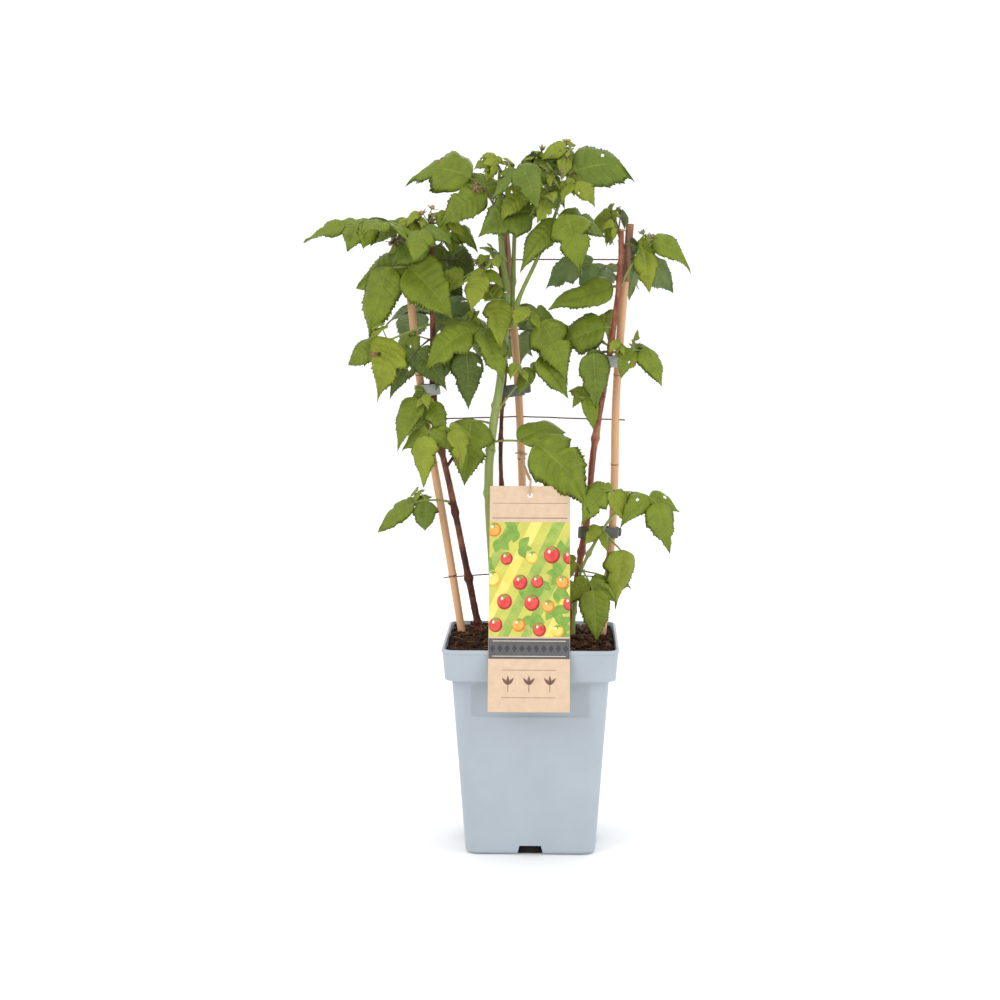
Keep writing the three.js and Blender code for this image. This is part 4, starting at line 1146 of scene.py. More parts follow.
def prism(sculpt, outline, low, high, finish, place):
    """A flat outline given some thickness, on the card."""
    if sum(a[0] * b[1] - b[0] * a[1] for a, b in looped(outline)) < 0:
        outline = outline[::-1]
    sculpt.loft([[place @ Vector((x, y, z)) for x, y in outline] for z in (low, high)], finish)


def disc(x, y, radius, sides=28, squash=1.0):
    turns = [2 * math.pi * i / sides for i in range(sides)]
    return [(x + radius * math.cos(a), y + radius * squash * math.sin(a)) for a in turns]


def card_body(sculpt, place):
    """The card with its clipped corner and punched hole."""
    half, length, clip = LABEL["width"] / 2, LABEL["length"], LABEL["clip"]
    outline = [(-half, 0), (half, 0), (half, length - clip), (half - clip, length), (-half, length)]
    hole_y = length - LABEL["hole_inset"]
    hole = disc(0, hole_y, LABEL["hole"], 32)
    dense = []
    for (ax, ay), (bx, by) in looped(outline):
        steps = max(int(math.hypot(bx - ax, by - ay) / 8), 1)
        dense.extend((ax + (bx - ax) * i / steps, ay + (by - ay) * i / steps) for i in range(steps))
    start = min(range(len(dense)), key=lambda i: abs(math.atan2(dense[i][1] - hole_y, dense[i][0])))
    dense = dense[start:] + dense[:start]
    shape = bmesh.new()
    layers = []
    for z in (0.0, LABEL["thickness"]):
        layers.append([
            [shape.verts.new(place @ Vector((x, y, z))) for x, y in loop] for loop in (dense, hole)
        ])
    for loops, up in zip(layers, (-1, 1)):
        edges = [shape.edges.new(pair) for loop in loops for pair in looped(loop)]
        out = place.to_3x3() @ Vector((0, 0, up))
        bmesh.ops.triangle_fill(shape, edges=edges, use_beauty=True, normal=out)
    for low, high in zip(*layers):
        for (a, b), (d, c) in zip(looped(low), looped(high)):
            shape.faces.new((a, b, c, d))
    bmesh.ops.recalc_face_normals(shape, faces=shape.faces)
    shape.verts.index_update()
    faces = [tuple(v.index for v in f.verts) for f in shape.faces]
    sculpt.add([v.co.copy() for v in shape.verts], faces, "card_kraft")
    shape.free()


def rectangle(x0, y0, x1, y1):
    return [(x0, y0), (x1, y0), (x1, y1), (x0, y1)]


def clipped_to(outline, x0, y0, x1, y1):
    """An outline cut to a rectangle, side by side."""
    for axis, limit, sign in ((0, x0, 1), (0, x1, -1), (1, y0, 1), (1, y1, -1)):
        kept = []
        for a, b in looped(outline):
            inside_a, inside_b = (sign * p[axis] >= sign * limit for p in (a, b))
            if inside_a:
                kept.append(a)
            if inside_a != inside_b:
                share = (limit - a[axis]) / (b[axis] - a[axis])
                meet = [a[0] + (b[0] - a[0]) * share, a[1] + (b[1] - a[1]) * share]
                meet[axis] = limit
                kept.append(tuple(meet))
        outline = kept
        if len(outline) < 3:
            return []
    return outline


def leaflet_outline(x, y, length, heading, wide=0.3):
    """A plain pointed oval, for the printed pattern."""
    points = []
    cos, sin = math.cos(math.radians(heading)), math.sin(math.radians(heading))
    for side in (1, -1):
        for i in range(9):
            u = i / 9 if side == 1 else 1 - i / 9
            w = side * wide * length * math.sin(math.pi * u ** 0.8)
            points.append((x + cos * length * u - sin * w, y + sin * length * u + cos * w))
    return points


def card_print(sculpt, place):
    """A plain pattern: rules, a panel of stripes, leaflets and round fruits, a dark band, three sprigs."""
    face = LABEL["thickness"]
    half = LABEL["width"] / 2
    panel = (-half + 0.2, 72.5, half - 0.2, 185)

    def lay(outline, level, finish):
        """Prints an outline; a higher level lies over a lower one."""
        if len(outline) > 2:
            prism(sculpt, outline, face - 0.1, face + INK * level, finish, place)

    def lay_in(outline, level, finish):
        lay(clipped_to(outline, *panel), level, finish)

    def rule(reach, y, thick, level, finish):
        lay(rectangle(-reach, y, reach, y + thick), level, finish)

    rule(half - 2.5, 188.6, 0.7, 1, "ink_brown")
    rule(half - 2.5, 203.5, 0.4, 1, "ink_brown")
    lay(rectangle(*panel), 1, "ink_lime")
    random = seeded(SEEDS["print"])
    for i in range(9):
        foot = -80 + 22 * i
        stripe = [(foot, 60), (foot + 7 + 4 * random(), 60), (foot + 78, 200), (foot + 66, 200)]
        lay_in(stripe, 2, ("ink_leaf", "ink_yellow", "ink_leaf")[i % 3])
    for i in range(13):
        x, y, heading = -37 + 74 * random(), 76 + 8.4 * i, 360 * random()
        for step, swing in enumerate((-52, 0, 52)):
            leaf = leaflet_outline(x, y, 13 + 3 * random(), heading + swing)
            lay_in(leaf, 3 + 0.25 * step + 0.08 * (i % 3), "ink_fern")
    for i in range(17):
        x = -30 + 20.5 * (i % 4) + 7 * (random() - 0.5) + (9 if i // 4 % 2 else -2)
        y = 81 + 23.5 * (i // 4) + 7 * (random() - 0.5)
        r = 5.6 + 2.6 * random()
        ripe = ("red", "orange", "red", "yellow", "red")[i % 5]
        lay_in(disc(x, y, r, 28, 1.08), 4, f"ink_{ripe}_deep")
        lay_in(disc(x - r * 0.1, y + r * 0.1, r * 0.86, 28, 1.08), 5, f"ink_{ripe}")
        lay_in(disc(x - r * 0.34, y + r * 0.42, r * 0.18, 12, 1.3), 6, "ink_pale")
        for swing in (-60, 0, 60):
            lay_in(leaflet_outline(x, y + r * 0.95, 4.2, 270 + swing, 0.2), 6, "ink_fern")
    rule(half - 0.2, 51, 19.8, 1, "ink_slate")
    for i in range(11):
        x = -35 + 7 * i
        lay([(x - 2.6, 61), (x, 57.2), (x + 2.6, 61), (x, 64.8)], 2, "ink_slate_dark")
    rule(half - 4, 53.3, 0.5, 2, "ink_pale")
    rule(half - 4, 68.0, 0.5, 2, "ink_pale")
    for x in (-20, 0, 20):
        for swing in (-40, 0, 40):
            lay(leaflet_outline(x, 26, 9, 90 + swing, 0.16), 1, "ink_brown")
        lay(rectangle(x - 0.3, 19, x + 0.3, 27), 1, "ink_brown")
    rule(26, 13.6, 0.4, 1, "ink_brown")
    rule(26, 40.0, 0.4, 1, "ink_brown")


def twist_tie(sculpt, place):
    """The covered wire that loops through the card's hole and runs back, twisted, to the middle rod."""
    hole_y = LABEL["length"] - LABEL["hole_inset"]
    card_middle = LABEL["thickness"] / 2
    loop = [
        place @ Vector((0.5 * math.sin(a), hole_y + 7.5 + 7.5 * math.sin(a), card_middle + 3.4 * math.cos(a)))
        for a in arc(24, -90, 270)
    ]
    sculpt.tube(loop, [1.0] * len(loop), 8, "paper_tie")
    rod = LIMBS["bamboo_middle"]
    start = place @ Vector((0, hole_y + 15.5, card_middle))
    t = rod.at_height(start.z + 16)
    reach = rod.radius(t) + 1.6
    end = rod.point(t) + Vector((0, -reach, 0))
    run = (end - start).normalized()
    across = run.cross(Vector((0, 0, 1))).normalized()
    steps = 96
    for phase in (0, 180):
        strand = []
        for i in range(steps + 1):
            s = i / steps
            angle = math.radians(phase + 32 * i)
            sag = Vector((0, 0, -9 * s * (1 - s)))
            coil = (across * math.cos(angle) + run.cross(across) * math.sin(angle)) * 0.8
            strand.append(start.lerp(end, s) + sag + coil)
        sculpt.tube(strand, [0.8] * len(strand), 7, "paper_tie")
    wrap = [
        rod.point(t) + Vector((reach * math.cos(angle), reach * math.sin(angle), 2.6 * i / 40))
        for i, angle in enumerate(arc(40, -90, 310))
    ]
    sculpt.tube(wrap, [0.75] * len(wrap), 8, "paper_tie")


# ---- canes -------------------------------------------------------------------------------------


def shaft(sculpt, name):
    """A cane's skin, with bark ridges, swollen nodes, a flared foot and a finished tip."""
    finish, tip_finish, ridge, _ = CANE_SKINS[name]
    limb = LIMBS[name]
    flare = 0.25 if limb.point(0).z < COMPOST_LEVEL else 0.05
    steps = int(limb.length / 1.8)
    stations = [i / steps for i in range(steps + 1)]
    path = [limb.point(t) for t in stations]
    swellings = limb.nodes(CANE_NODE_SPACING)
    seed = sum(map(ord, name)) % 50
    radii = []
    for t in stations:
        radius = limb.radius(t) * (1 + flare * math.exp(-t * limb.length / 12))
        for i, middle in enumerate(swellings):
            away = (t - middle) * limb.length
            radius += swell(away, 1.3 if i % 2 else 0.9, 3.0) + swell(away - 4, 0.4, 6)
        radii.append(radius)

    def relief(i, angle):
        run = stations[i] * limb.length
        ridges = noise.noise(Vector((math.cos(angle) * 1.9, math.sin(angle) * 1.9, run / 26 + seed)))
        warts = noise.noise(Vector((math.cos(angle) * 3.5, math.sin(angle) * 3.5, run / 4.5 + seed)))
        return ridge * (1.1 * ridges + 0.6 * warts)

    rings = tube_rings(path, radii, 16, relief)
    tip, along = rings[-1], limb.along(1)
    for share, out in ((0.82, 0.35), (0.45, 0.55), (0.15, 0.6)):
        rings.append(drawn_in(tip, path[-1], share, along * out))
    last = len(path) - 1
    sculpt.loft(rings, lambda r, _: tip_finish if r >= last or r == -1 else finish)


def around(limb, t, heading):
    """A point on a limb's skin, the way it faces there and the way the limb runs."""
    out = direction(heading, 0)
    along = limb.along(t)
    out = (out - along * out.dot(along)).normalized()
    return limb.point(t) + out * limb.radius(t), out, along


def scatter_prickles(sculpt, limb, count, length, random):
    for _ in range(count):
        t = 0.03 + 0.94 * random()
        foot, out, along = around(limb, t, 360 * random())
        tip = foot + out * length * (0.6 + 0.7 * random()) - along * 0.35
        sculpt.tube([foot - out * 0.4, foot + out * 0.15, tip], [0.42, 0.26, 0.04], 5, "prickle")


def node_bud(sculpt, limb, t, heading, size, finish):
    """A scaly bud that sits in the crook of a node."""
    foot, out, along = around(limb, t, heading)
    axis = (out * 0.7 + along).normalized()
    path = [foot - out * 0.6 + axis * size * s for s in (0, 0.35, 0.8, 1.3, 1.75, 2.0)]
    sculpt.tube(path, [size * r for r in (0.55, 0.8, 0.85, 0.6, 0.28, 0.05)], 9, finish)
    for side in (-1, 1):
        cross = along.cross(out).normalized() * (side * size)
        path = [foot + cross * (0.35 + 0.25 * s) + axis * size * s for s in (0, 0.5, 1.0, 1.4)]
        sculpt.tube(path, [size * r for r in (0.5, 0.46, 0.3, 0.04)], 6, finish)


def stub(sculpt, limb, finish, z, heading, rise, length, radius):
    """A pruned side shoot, its end cut a little aslant."""
    start = limb.point_at(z)
    bend = direction(heading, rise)
    path = [start + bend * length * s + Vector((0, 0, 0.5 * s * s)) for s in (0, 0.25, 0.5, 0.75, 1)]
    rings = tube_rings(path, [radius * r for r in (1.25, 1.1, 1.0, 1.05, 1.0)], 10)
    last = len(rings) - 1
    rings.append(drawn_in(rings[last], middle_of(rings[last]), 0.55, bend * 0.3))
    sculpt.loft(rings, lambda r, _: "bamboo_cut" if r in (last, -1) else finish)


# ---- foliage: the same rule that shapes the masses, carried to finer leaves ---------------------


class Blade(NamedTuple):
    """A leaflet's root, the ways it runs and faces, its length and how far its tip hangs."""

    base: Vector
    along: Vector
    normal: Vector
    length: float
    hang: float

    def rib_point(self, u):
        point = self.base + self.along * (self.length * u)
        point.z -= self.length * self.hang * u * u
        return point

    def corners(self):
        """The solid blade's tip and edge corners."""
        across = self.normal.cross(self.along).normalized()
        found = [self.rib_point(1)]
        for u, w in BLADE_ROWS[1:]:
            reach = self.length * BLADE_WIDTH / 2 * w
            lift = self.normal * (reach * BLADE_FOLD)
            found += [self.rib_point(u) + across * (side * reach) + lift for side in (-1, 1)]
        return found


def sweep(start, yaw, pitch, length, bend, turn, steps):
    points = [start]
    for i in range(steps):
        s = (i + 0.5) / steps
        points.append(points[-1] + direction(yaw + turn * s, pitch + bend * s) * (length / steps))
    return points


def along_line(points, s):
    place = s * (len(points) - 1)
    index = min(int(place), len(points) - 2)
    return points[index].lerp(points[index + 1], place - index)


def compound_leaf(start, yaw, pitch, length, turn, steps, row, scale, random):
    """A leaf as its stalk and its blades, the end one first."""
    size = row.size * scale
    pairs = (row.leaflets - 1) // 2
    whole = length + pairs * SIDE_STEP * size
    stalk = sweep(start, yaw, pitch, whole, row.bend, turn, steps)
    along = direction(yaw + turn, pitch + row.bend - row.drop)
    scatter = FACE_SCATTER * (2 * random() - 1)
    face = direction(row.face + scatter, row.tilt + FACE_SCATTER * (random() - 0.5))
    normal = (face - along * face.dot(along)).normalized()
    blades = [Blade(stalk[-1] - along * BLADE_ROOT, along, normal, size, row.hang)]
    for pair in range(1, pairs + 1):
        base = along_line(stalk, 1 - pair * SIDE_STEP * size / whole)
        for side in (-1, 1):
            outward = turned(along, normal, side * (row.splay + SPLAY_SCATTER * (random() - 0.5)))
            facing = turned(normal, outward, -side * SIDE_TWIST)
            side_length = size * row.side ** pair * (1 + SIDE_SCATTER * (random() - 0.5))
            blades.append(Blade(base, outward, facing, side_length, row.hang))
    return stalk, blades


def buds_at(stem, row, random):
    buds = []
    for _ in range(row.buds):
        start = along_line(stem, BUD_PLAY["first"] + BUD_PLAY["span"] * random())
        yaw = row.heading + BUD_PLAY["swing"] * (random() - 0.5)
        out = direction(yaw, BUD_PLAY["rise"] * random())
        length = BUD_STALK * (BUD_PLAY["least"] + BUD_PLAY["stretch"] * random())
        buds.append((start, start + out * length))
    return buds


def grow_shoot(row, index):
    """A shoot in numbers: its stem, its leaves as (stalk, blades) and its buds."""
    random = seeded(SEED_FIRST + SEED_STEP * index)
    limb = LIMBS[row.limb]
    t = limb.at_height(row.z)
    start = limb.point(t) + direction(row.heading, 0) * (limb.radius(t) * STEM_ROOT)
    if row.leaves == 1:
        stalk, blades = compound_leaf(
            start, row.heading, row.rise, row.reach, row.turn, STEM_STEPS, row, 1, random,
        )
        return stalk, [(None, blades)], buds_at(stalk, row, random)
    stem = sweep(start, row.heading, row.rise, row.reach, row.bend, row.turn, STEM_STEPS)
    buds = buds_at(stem, row, random)
    leaves = []
    for leaf in range(row.leaves):
        last = leaf == row.leaves - 1
        s = 1 if last else LEAF_SET["first"] + (1 - LEAF_SET["first"]) * leaf / (row.leaves - 1)
        side = 1 if leaf % 2 == 0 else -1
        swing = 0 if last else side * row.swing + LEAF_SET["scatter"] * (random() - 0.5)
        leaves.append(compound_leaf(
            along_line(stem, s * LEAF_SET["root"]),
            row.heading + row.turn * s + swing,
            row.rise + row.bend * s,
            row.size * (LEAF_SET["last_stalk"] if last else LEAF_SET["stalk"]),
            0,
            STALK_STEPS,
            row,
            1 if last else LEAF_SET["scale"],
            random,
        ))
    return stem, leaves, buds


def finer_leaves(row, stem, random):
    """The small young leaves that the same rule sets along a stem, below its large leaves."""
    finer = []
    for i in range(row.finer):
        s = 0.3 + 0.6 * random()
        size = row.size * (0.34 + 0.24 * random())
        small = row._replace(leaflets=3, size=size, side=0.85, splay=60, drop=5 + 60 * random(), hang=0.3)
        yaw = row.heading + row.turn * s + (1 if i % 2 else -1) * (40 + 90 * random())
        stalk, blades = compound_leaf(
            along_line(stem, s), yaw, 15 + 55 * random(), size * 0.8, 0, STALK_STEPS, small, 1, random,
        )
        if all(clear_of_limbs(blade.rib_point(1)) for blade in blades):
            finer.append((stalk, blades))
    return finer


def clear_of_limbs(point):
    return all((limb.point_at(point.z) - point).length >= LIMB_AIR for limb in LIMBS.values())


class MassSolid:
    """The mass's own solid, which tells which leaflets it kept clear of its neighbours."""

    def __init__(self, name):
        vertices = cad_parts[name].data.vertices
        self.tree = kdtree.KDTree(len(vertices))
        for i, vertex in enumerate(vertices):
            self.tree.insert(vertex.co, i)
        self.tree.balance()

    def holds(self, blade):
        return any(self.tree.find(p * MM)[2] < SOLID_AIR * MM for p in blade.corners())


def leaf_rows(veins):
    """Rows of a leaflet, one along each side vein and several between, as (s, pleat, tooth, is_vein)."""
    marks = [0.035 + 0.87 * (i / veins) ** 0.92 for i in range(veins + 1)] + [0.985]
    rows = [(0.0, 0.0, 0.0, False), (0.014, 0.0, 0.2, False)]
    for i, (mark, following) in enumerate(zip(marks, marks[1:])):
        for place, tooth in zip(TOOTH_PLACES, TEETH):
            if i < veins or place < 0.5:
                pleat = math.sin(math.pi * max(place - 0.13, 0) / 0.87)
                rows.append((mark + (following - mark) * place, pleat, tooth, place == 0))
    return rows


def bump_at(x, middle, spread):
    return np.exp(-(((x - middle) / spread) ** 2))


def eaten_hole(rows, drift):
    """Where a leaflet is eaten through, if it is: its side, column, first row and last row."""
    if drift.x % 1 > HOLED_SHARE:
        return None
    side = 1 if drift.y % 1 > 0.5 else -1
    column = UNDERSIDE[int(drift.y * 7 % 1 * (len(UNDERSIDE) - 1))]
    first = int(len(rows) * (0.2 + 0.4 * (drift.z % 1)))
    return side, column, first, first + 2 + int(drift.z * 5 % 1 * 3)


def is_dry(s, side, outer, drift):
    """Whether a leaflet is brown at a place: a few have a dry tip, a few a dry spot at an edge."""
    pick = drift.z * 3 % 1
    if pick < DRY_SHARE:
        return s > 0.8 + 0.12 * (drift.x % 1)
    spot = 0.3 + 0.5 * (drift.x % 1)
    return pick < 2 * DRY_SHARE and side * (drift.y % 1 - 0.5) > 0 and abs(s - spot) < 0.022 * (outer - 3)


LAST = len(COLUMNS) - 1
RING = 2 * (LAST + 1 + len(UNDERSIDE))  # points round a leaflet: its top, left to right, then its underside


def leaflet_faces(rows, tone, drift):
    """A leaflet's faces and their finishes, without those that were eaten."""
    under = len(UNDERSIDE)
    faces, finishes = [], []
    gone = set()
    hole = eaten_hole(rows, drift)
    if hole:
        side, column, top, bottom = hole
        places = {}  # column: its places on the ring, above and below
        for i, kept in enumerate(UNDERSIDE):
            right = (LAST + kept, 2 * LAST + under - i)
            places[kept] = right if side > 0 else (LAST - kept, RING - under + i)
        near, far = places[column + (side < 0)], places[column + (side > 0)]
        gone = {(r, min(near[level], far[level])) for r in range(top, bottom) for level in (0, 1)}
        rim = [(r, far) for r in range(top, bottom + 1)] + [(r, near) for r in range(bottom, top - 1, -1)]
        for (r, p), (q, o) in looped(rim):
            faces.append((r * RING + p[0], q * RING + o[0], q * RING + o[1], r * RING + p[1]))
            finishes.append("leaf_under")
    for r, (s, _, _, vein) in enumerate(rows[:-1]):
        for k in range(RING):
            if (r, k) in gone:
                continue
            a, b = r * RING + k, r * RING + (k + 1) % RING
            side, outer = (-1, LAST - k) if k < LAST else (1, k - LAST + 1)
            if k >= 2 * LAST:
                faces += ((a, b, a + RING), (b, b + RING, a + RING))
                finish = "leaf_under"
            else:
                faces += ((a, b, b + RING), (a, b + RING, a + RING))
                part = "_rib" if k in (LAST - 1, LAST) else "_vein" if vein else ""
                finish = "leaf_dry" if is_dry(s, side, outer, drift) else tone + part
            finishes += (finish, finish)
    first = (len(rows) - 1) * RING
    for k in range(RING):
        faces.append((first + k, first + (k + 1) % RING, first + RING))
        finishes.append(tone if k < 2 * LAST else "leaf_under")
    faces.append(tuple(reversed(range(RING))))
    finishes.append("leaf_under")
    return faces, finishes


def leaflet(sculpt, blade, tone, random, plant):
    """One toothed, softly lobed leaflet as a closed skin: rings of top and underside points, root to tip."""
    length = blade.length
    play = {key: least + span * random() for key, (least, span) in LEAFLET_PLAY.items()}
    half = length * BLADE_WIDTH / 2 * play["width"]
    rows = leaf_rows(next(veins for over, veins in VEINS if length > over))
    s, pleat = (np.array([row[i] for row in rows])[:, None] for i in (0, 1))
    v = np.array(COLUMNS)[None, :]
    at_edge = v == 1.0
    ease = np.clip(s / 0.22, 0, 1)
    margin = s + 0.19 * (1 - s) ** 0.8 * ease * ease * (3 - 2 * ease)
    plain_width = np.interp(margin, OUTLINE_U, OUTLINE_W) * half
    sway = LEAFLET_SWAY * (random() - 0.5)
    twist = math.radians(LEAFLET_TWIST * (random() - 0.5))
    drift = Vector((random() * 40, random() * 40, random() * 40))
    ramp = np.clip(v / 0.16, 0, 1) * (1 - 0.45 * v)
    normal, along, base = np.array(blade.normal), np.array(blade.along), np.array(blade.base)
    across = np.array(blade.normal.cross(blade.along).normalized())

    def rough(side, coarse_s, coarse_v, start):
        """Noise over one half of the leaflet."""
        return np.array([
            [noise.noise(drift + Vector((a * coarse_s, side * b * coarse_v, start))) for b in COLUMNS]
            for a in s[:, 0]
        ])

    def half_blade(side):
        """One half's places along, across and above the rib."""
        tooth = np.array([row[2] * (0.45 + 0.9 * random()) for row in rows])[:, None]
        lobe = max(random() * 1.9 - 1.05, 0) * min(length / 42, 1.1)
        place = 0.44 + 0.14 * random()
        ragged = np.array([noise.noise(drift + Vector((a * 7, side * 9.0, 3.0))) for a in s[:, 0]])[:, None]
        shoulder = 0.18 * bump_at(margin, place - 0.13, 0.07) + 0.08 * bump_at(margin, place + 0.16, 0.08)
        width = plain_width * (1 + lobe * (shoulder - 0.36 * bump_at(margin, place + 0.01, 0.055)))
        if (drift.y + side * 0.2) % 1 < BITTEN_SHARE:
            width = width * (1 - 0.4 * bump_at(s, 0.2 + 0.6 * (drift.z % 1), 0.05))
        width = width * (1 - play["pinch"] * np.clip((margin - 0.7) / 0.3, 0, 1))
        width = width * (1 + 0.14 * ragged * np.minimum(s / 0.2, 1))
        bite = plant.teeth * (0.4 + 0.6 * np.clip((s - 0.1) / 0.4, 0, 1)) * np.minimum(width / half + 0.1, 1)
        u = s + (margin - s) * v ** 1.25 + at_edge * tooth * 0.02 * bite
        x = np.maximum(width * v + at_edge * half * (0.12 * tooth - 0.04) * bite, 0)
        rise = width * (BLADE_FOLD * play["fold"] * v ** 1.3 - play["curl"] * v ** 3)
        rise = rise + length * 0.018 * plant.pleat * pleat * ramp * np.minimum(width / half * 1.4, 1)
        waves = 0.1 * rough(side, 2.4, 1.5, 0) * (0.2 + v) + 0.016 * rough(side, 8, 3.5, 7) * v
        return side, u, x, rise + length * waves

    def skin(half, lift):
        """The places of one half's top or underside, which lies lift above the middle."""
        side, u, x, rise = half
        height = rise + lift
        angle = twist * (u - 0.2)
        out = side * x * np.cos(angle) - height * np.sin(angle) + length * sway * np.sin(math.pi * u)
        high = side * x * np.sin(angle) + height * np.cos(angle)
        points = base + along * (length * u)[..., None] + across * out[..., None] + normal * high[..., None]
        points[..., 2] -= length * (blade.hang * u * u + play["hook"] * np.clip((u - 0.55) / 0.45, 0, 1) ** 2)
        return points

    halves = half_blade(-1), half_blade(1)
    thick = 0.22 * (1 - v ** 2)
    keel = np.where(v < 0.02, 0.3, 0.0)
    top_left, top_right = (skin(half, thick) for half in halves)
    low_left, low_right = (skin(half, -thick - keel) for half in halves)
    under = list(UNDERSIDE)
    rings = np.concatenate(
        [top_left[:, LAST:0:-1], top_right, low_right[:, under[::-1]], low_right[:, :1], low_left[:, under]],
        axis=1,
    )
    tip = blade.rib_point(1)
    tip.z -= length * play["hook"]
    sculpt.add([*rings.reshape(-1, 3).tolist(), tip], *leaflet_faces(rows, tone, drift))


def tone_of(tone, random):
    """A leaflet's tint, with its painted light and shade: mostly its spray's, now and then the next one."""
    place = TONES.index(tone)
    pick = random()
    if pick < 0.16:
        place = max(place - 1, 0)
    elif pick > 0.86:
        place = min(place + 1, len(TONES) - 1)
    return "leaf_" + TONES[place]


def petiole(sculpt, points, radii, finish, root=None):
    """A stem's skin: its points smoothed, and its foot spread where it joins its limb."""
    limb = Limb(points if root is None else [root, *points], radii)
    spread, fade = (0.25, 2) if root is None else (0.9, 3)
    steps = max(int(limb.length / 2.2), 6)
    places = [i / steps for i in range(steps + 1)]
    sizes = [limb.radius(t) * (1 + spread * math.exp(-t * limb.length / fade)) for t in places]
    sculpt.tube([limb.point(t) for t in places], sizes, 8, finish)


def stipules(sculpt, foot, along, size):
    """The two narrow scales at the root of a leaf stalk."""
    cross = along.cross(Vector((0, 0, 1)))
    cross = cross.normalized() if cross.length > 0.1 else Vector((1, 0, 0))
    for side in (-1, 1):
        out = (along * 0.8 + cross * side * 0.8 + Vector((0, 0, 0.3))).normalized()
        path = [foot + out * size * s for s in (0, 0.4, 0.8, 1.0)]
        sculpt.tube(path, [0.45, 0.5, 0.3, 0.04], 5, "petiole")


def truss(stem, count, least_rise, random):
    """Short stalks that fan out from near a stem's end, or hang from it, each for one more flower bud."""
    found = []
    start = along_line(stem, 0.85)
    for i in range(count):
        out = direction(360 * (i + 0.5 * random()) / count, least_rise + 55 * random())
        start = start + Vector((0, 0, math.copysign(1.2, least_rise)))
        found.append((start, start + out * (7 + 9 * random())))
    return found


def sepal_star(sculpt, centre, axis, reach, spread, finish):
    """Five pointed sepals round a bud or a spent flower. Spread 0 is shut and 1 is flat open."""
    guide = Vector((0, 0, 1)) if abs(axis.z) < 0.8 else Vector((1, 0, 0))
    side = (guide - axis * guide.dot(axis)).normalized()
    for i in range(5):
        out = turned(side, axis, 72 * i)
        lean = (axis * (1 - spread) + out * spread).normalized()
        cross = axis.cross(out).normalized()
        lift = lean.cross(cross) * 0.22
        rings = []
        for s, w in ((0.0, 0.5), (0.3, 0.55), (0.65, 0.36), (0.9, 0.14), (1.0, 0.03)):
            middle = centre + lean * reach * s + out * reach * (0.28 + 0.2 * s * s)
            half = cross * reach * w * 0.6
            rings.append([middle + half, middle + lift, middle - half, middle - lift])
        sculpt.loft(rings, finish)


def flower_bud(sculpt, start, end, open_share, dry):
    """A bud on its stalk, or a spent flower if it is dry."""
    axis = (end - start).normalized()
    centre = end - axis * 3
    bend = start.lerp(end, 0.5) + Vector((0, 0, 0.8))
    sculpt.tube([start, start.lerp(bend, 0.6), bend, centre], [0.55, 0.45, 0.45, 0.6], 7, "petiole")
    path = [centre + axis * s for s in (-0.6, 0, 0.9, 2.2, 3.4, 4.2, 4.5)]
    sculpt.tube(path, [0.5, 1.3, 2.0, 2.15, 1.5, 0.6, 0.1], 12, "sepal_dry" if dry else "bud")
    sepal_star(sculpt, centre + axis * 0.4, axis, 4.6, open_share, "sepal_dry" if dry else "sepal")


# ---- settings ----------------------------------------------------------------------------------


def colour(name, description, default):
    return bpy.props.FloatVectorProperty(
        name=name, description=description, subtype="COLOR", size=3, min=0, max=1, default=default,
    )


def length_mm(name, description, default, low, high):
    return bpy.props.FloatProperty(
        name=name, description=description, default=default * MM, min=low * MM, max=high * MM, unit="LENGTH",
        precision=5,
    )


def count_of(name, description, default, low, high):
    return bpy.props.IntProperty(name=name, description=description, default=default, min=low, max=high)


def amount(name, description, default, high, unit="NONE"):
    return bpy.props.FloatProperty(
        name=name, description=description, default=default, min=0, max=high, unit=unit,
    )


class RaspberryPotSettings(bpy.types.PropertyGroup):
    plastic: colour("Pot plastic", "Colour of the moulded pot", (0.4, 0.452, 0.503))
    compost: colour("Compost", "Colour of the damp compost", (0.062, 0.027, 0.0125))
    crumbs: count_of("Crumbs", "Loose crumbs on the compost", 1500, 0, 4000)
    fibres: count_of("Fibres", "Roots and straws on the compost", 230, 0, 600)


class RaspberryTrellisSettings(bpy.types.PropertyGroup):
    bamboo: colour("Bamboo", "Colour of the rods", (0.53, 0.315, 0.18))
    sides: count_of("Rod sides", "Faces round each rod", 28, 12, 64)


class RaspberryPlantSettings(bpy.types.PropertyGroup):
    # The lit, dark and shaded leaf colours are the leaf green with painted light and shade: paler for sprays
    # in full light, darker for inner sprays and sprays deep in the plant; the young colour is the new leaves'
    # own.
    leaf_bright: colour("Lit leaf", "Leaves in full light", (0.17, 0.228, 0.008))
    leaf_mid: colour("Leaf", "Most leaves", (0.166, 0.226, 0.01))
    leaf_dark: colour("Dark leaf", "Older, inner leaves", (0.128, 0.186, 0.012))
    leaf_shade: colour("Shaded leaf", "Leaves deep in the plant", (0.07, 0.108, 0.009))
    leaf_young: colour("Young leaf", "New yellow-green leaves", (0.24, 0.292, 0.016))
    cane_green: colour("Green cane", "The thick young cane", (0.31, 0.375, 0.1))
    pleat: amount("Pleat", "Depth of the folds between veins", 1, 3)
    teeth: amount("Teeth", "Depth of the leaf teeth", 1, 2)
    prickle: length_mm("Prickle", "Length of the canes' prickles", 1.1, 0.2, 3)


class RaspberryLabelSettings(bpy.types.PropertyGroup):
    kraft: colour("Card", "Colour of the bare card", (0.7, 0.51, 0.355))
    slate: colour("Band", "Colour of the dark printed band", (0.1, 0.1, 0.105))
    lime: colour("Panel", "Ground colour of the printed panel", (0.62, 0.6, 0.1))


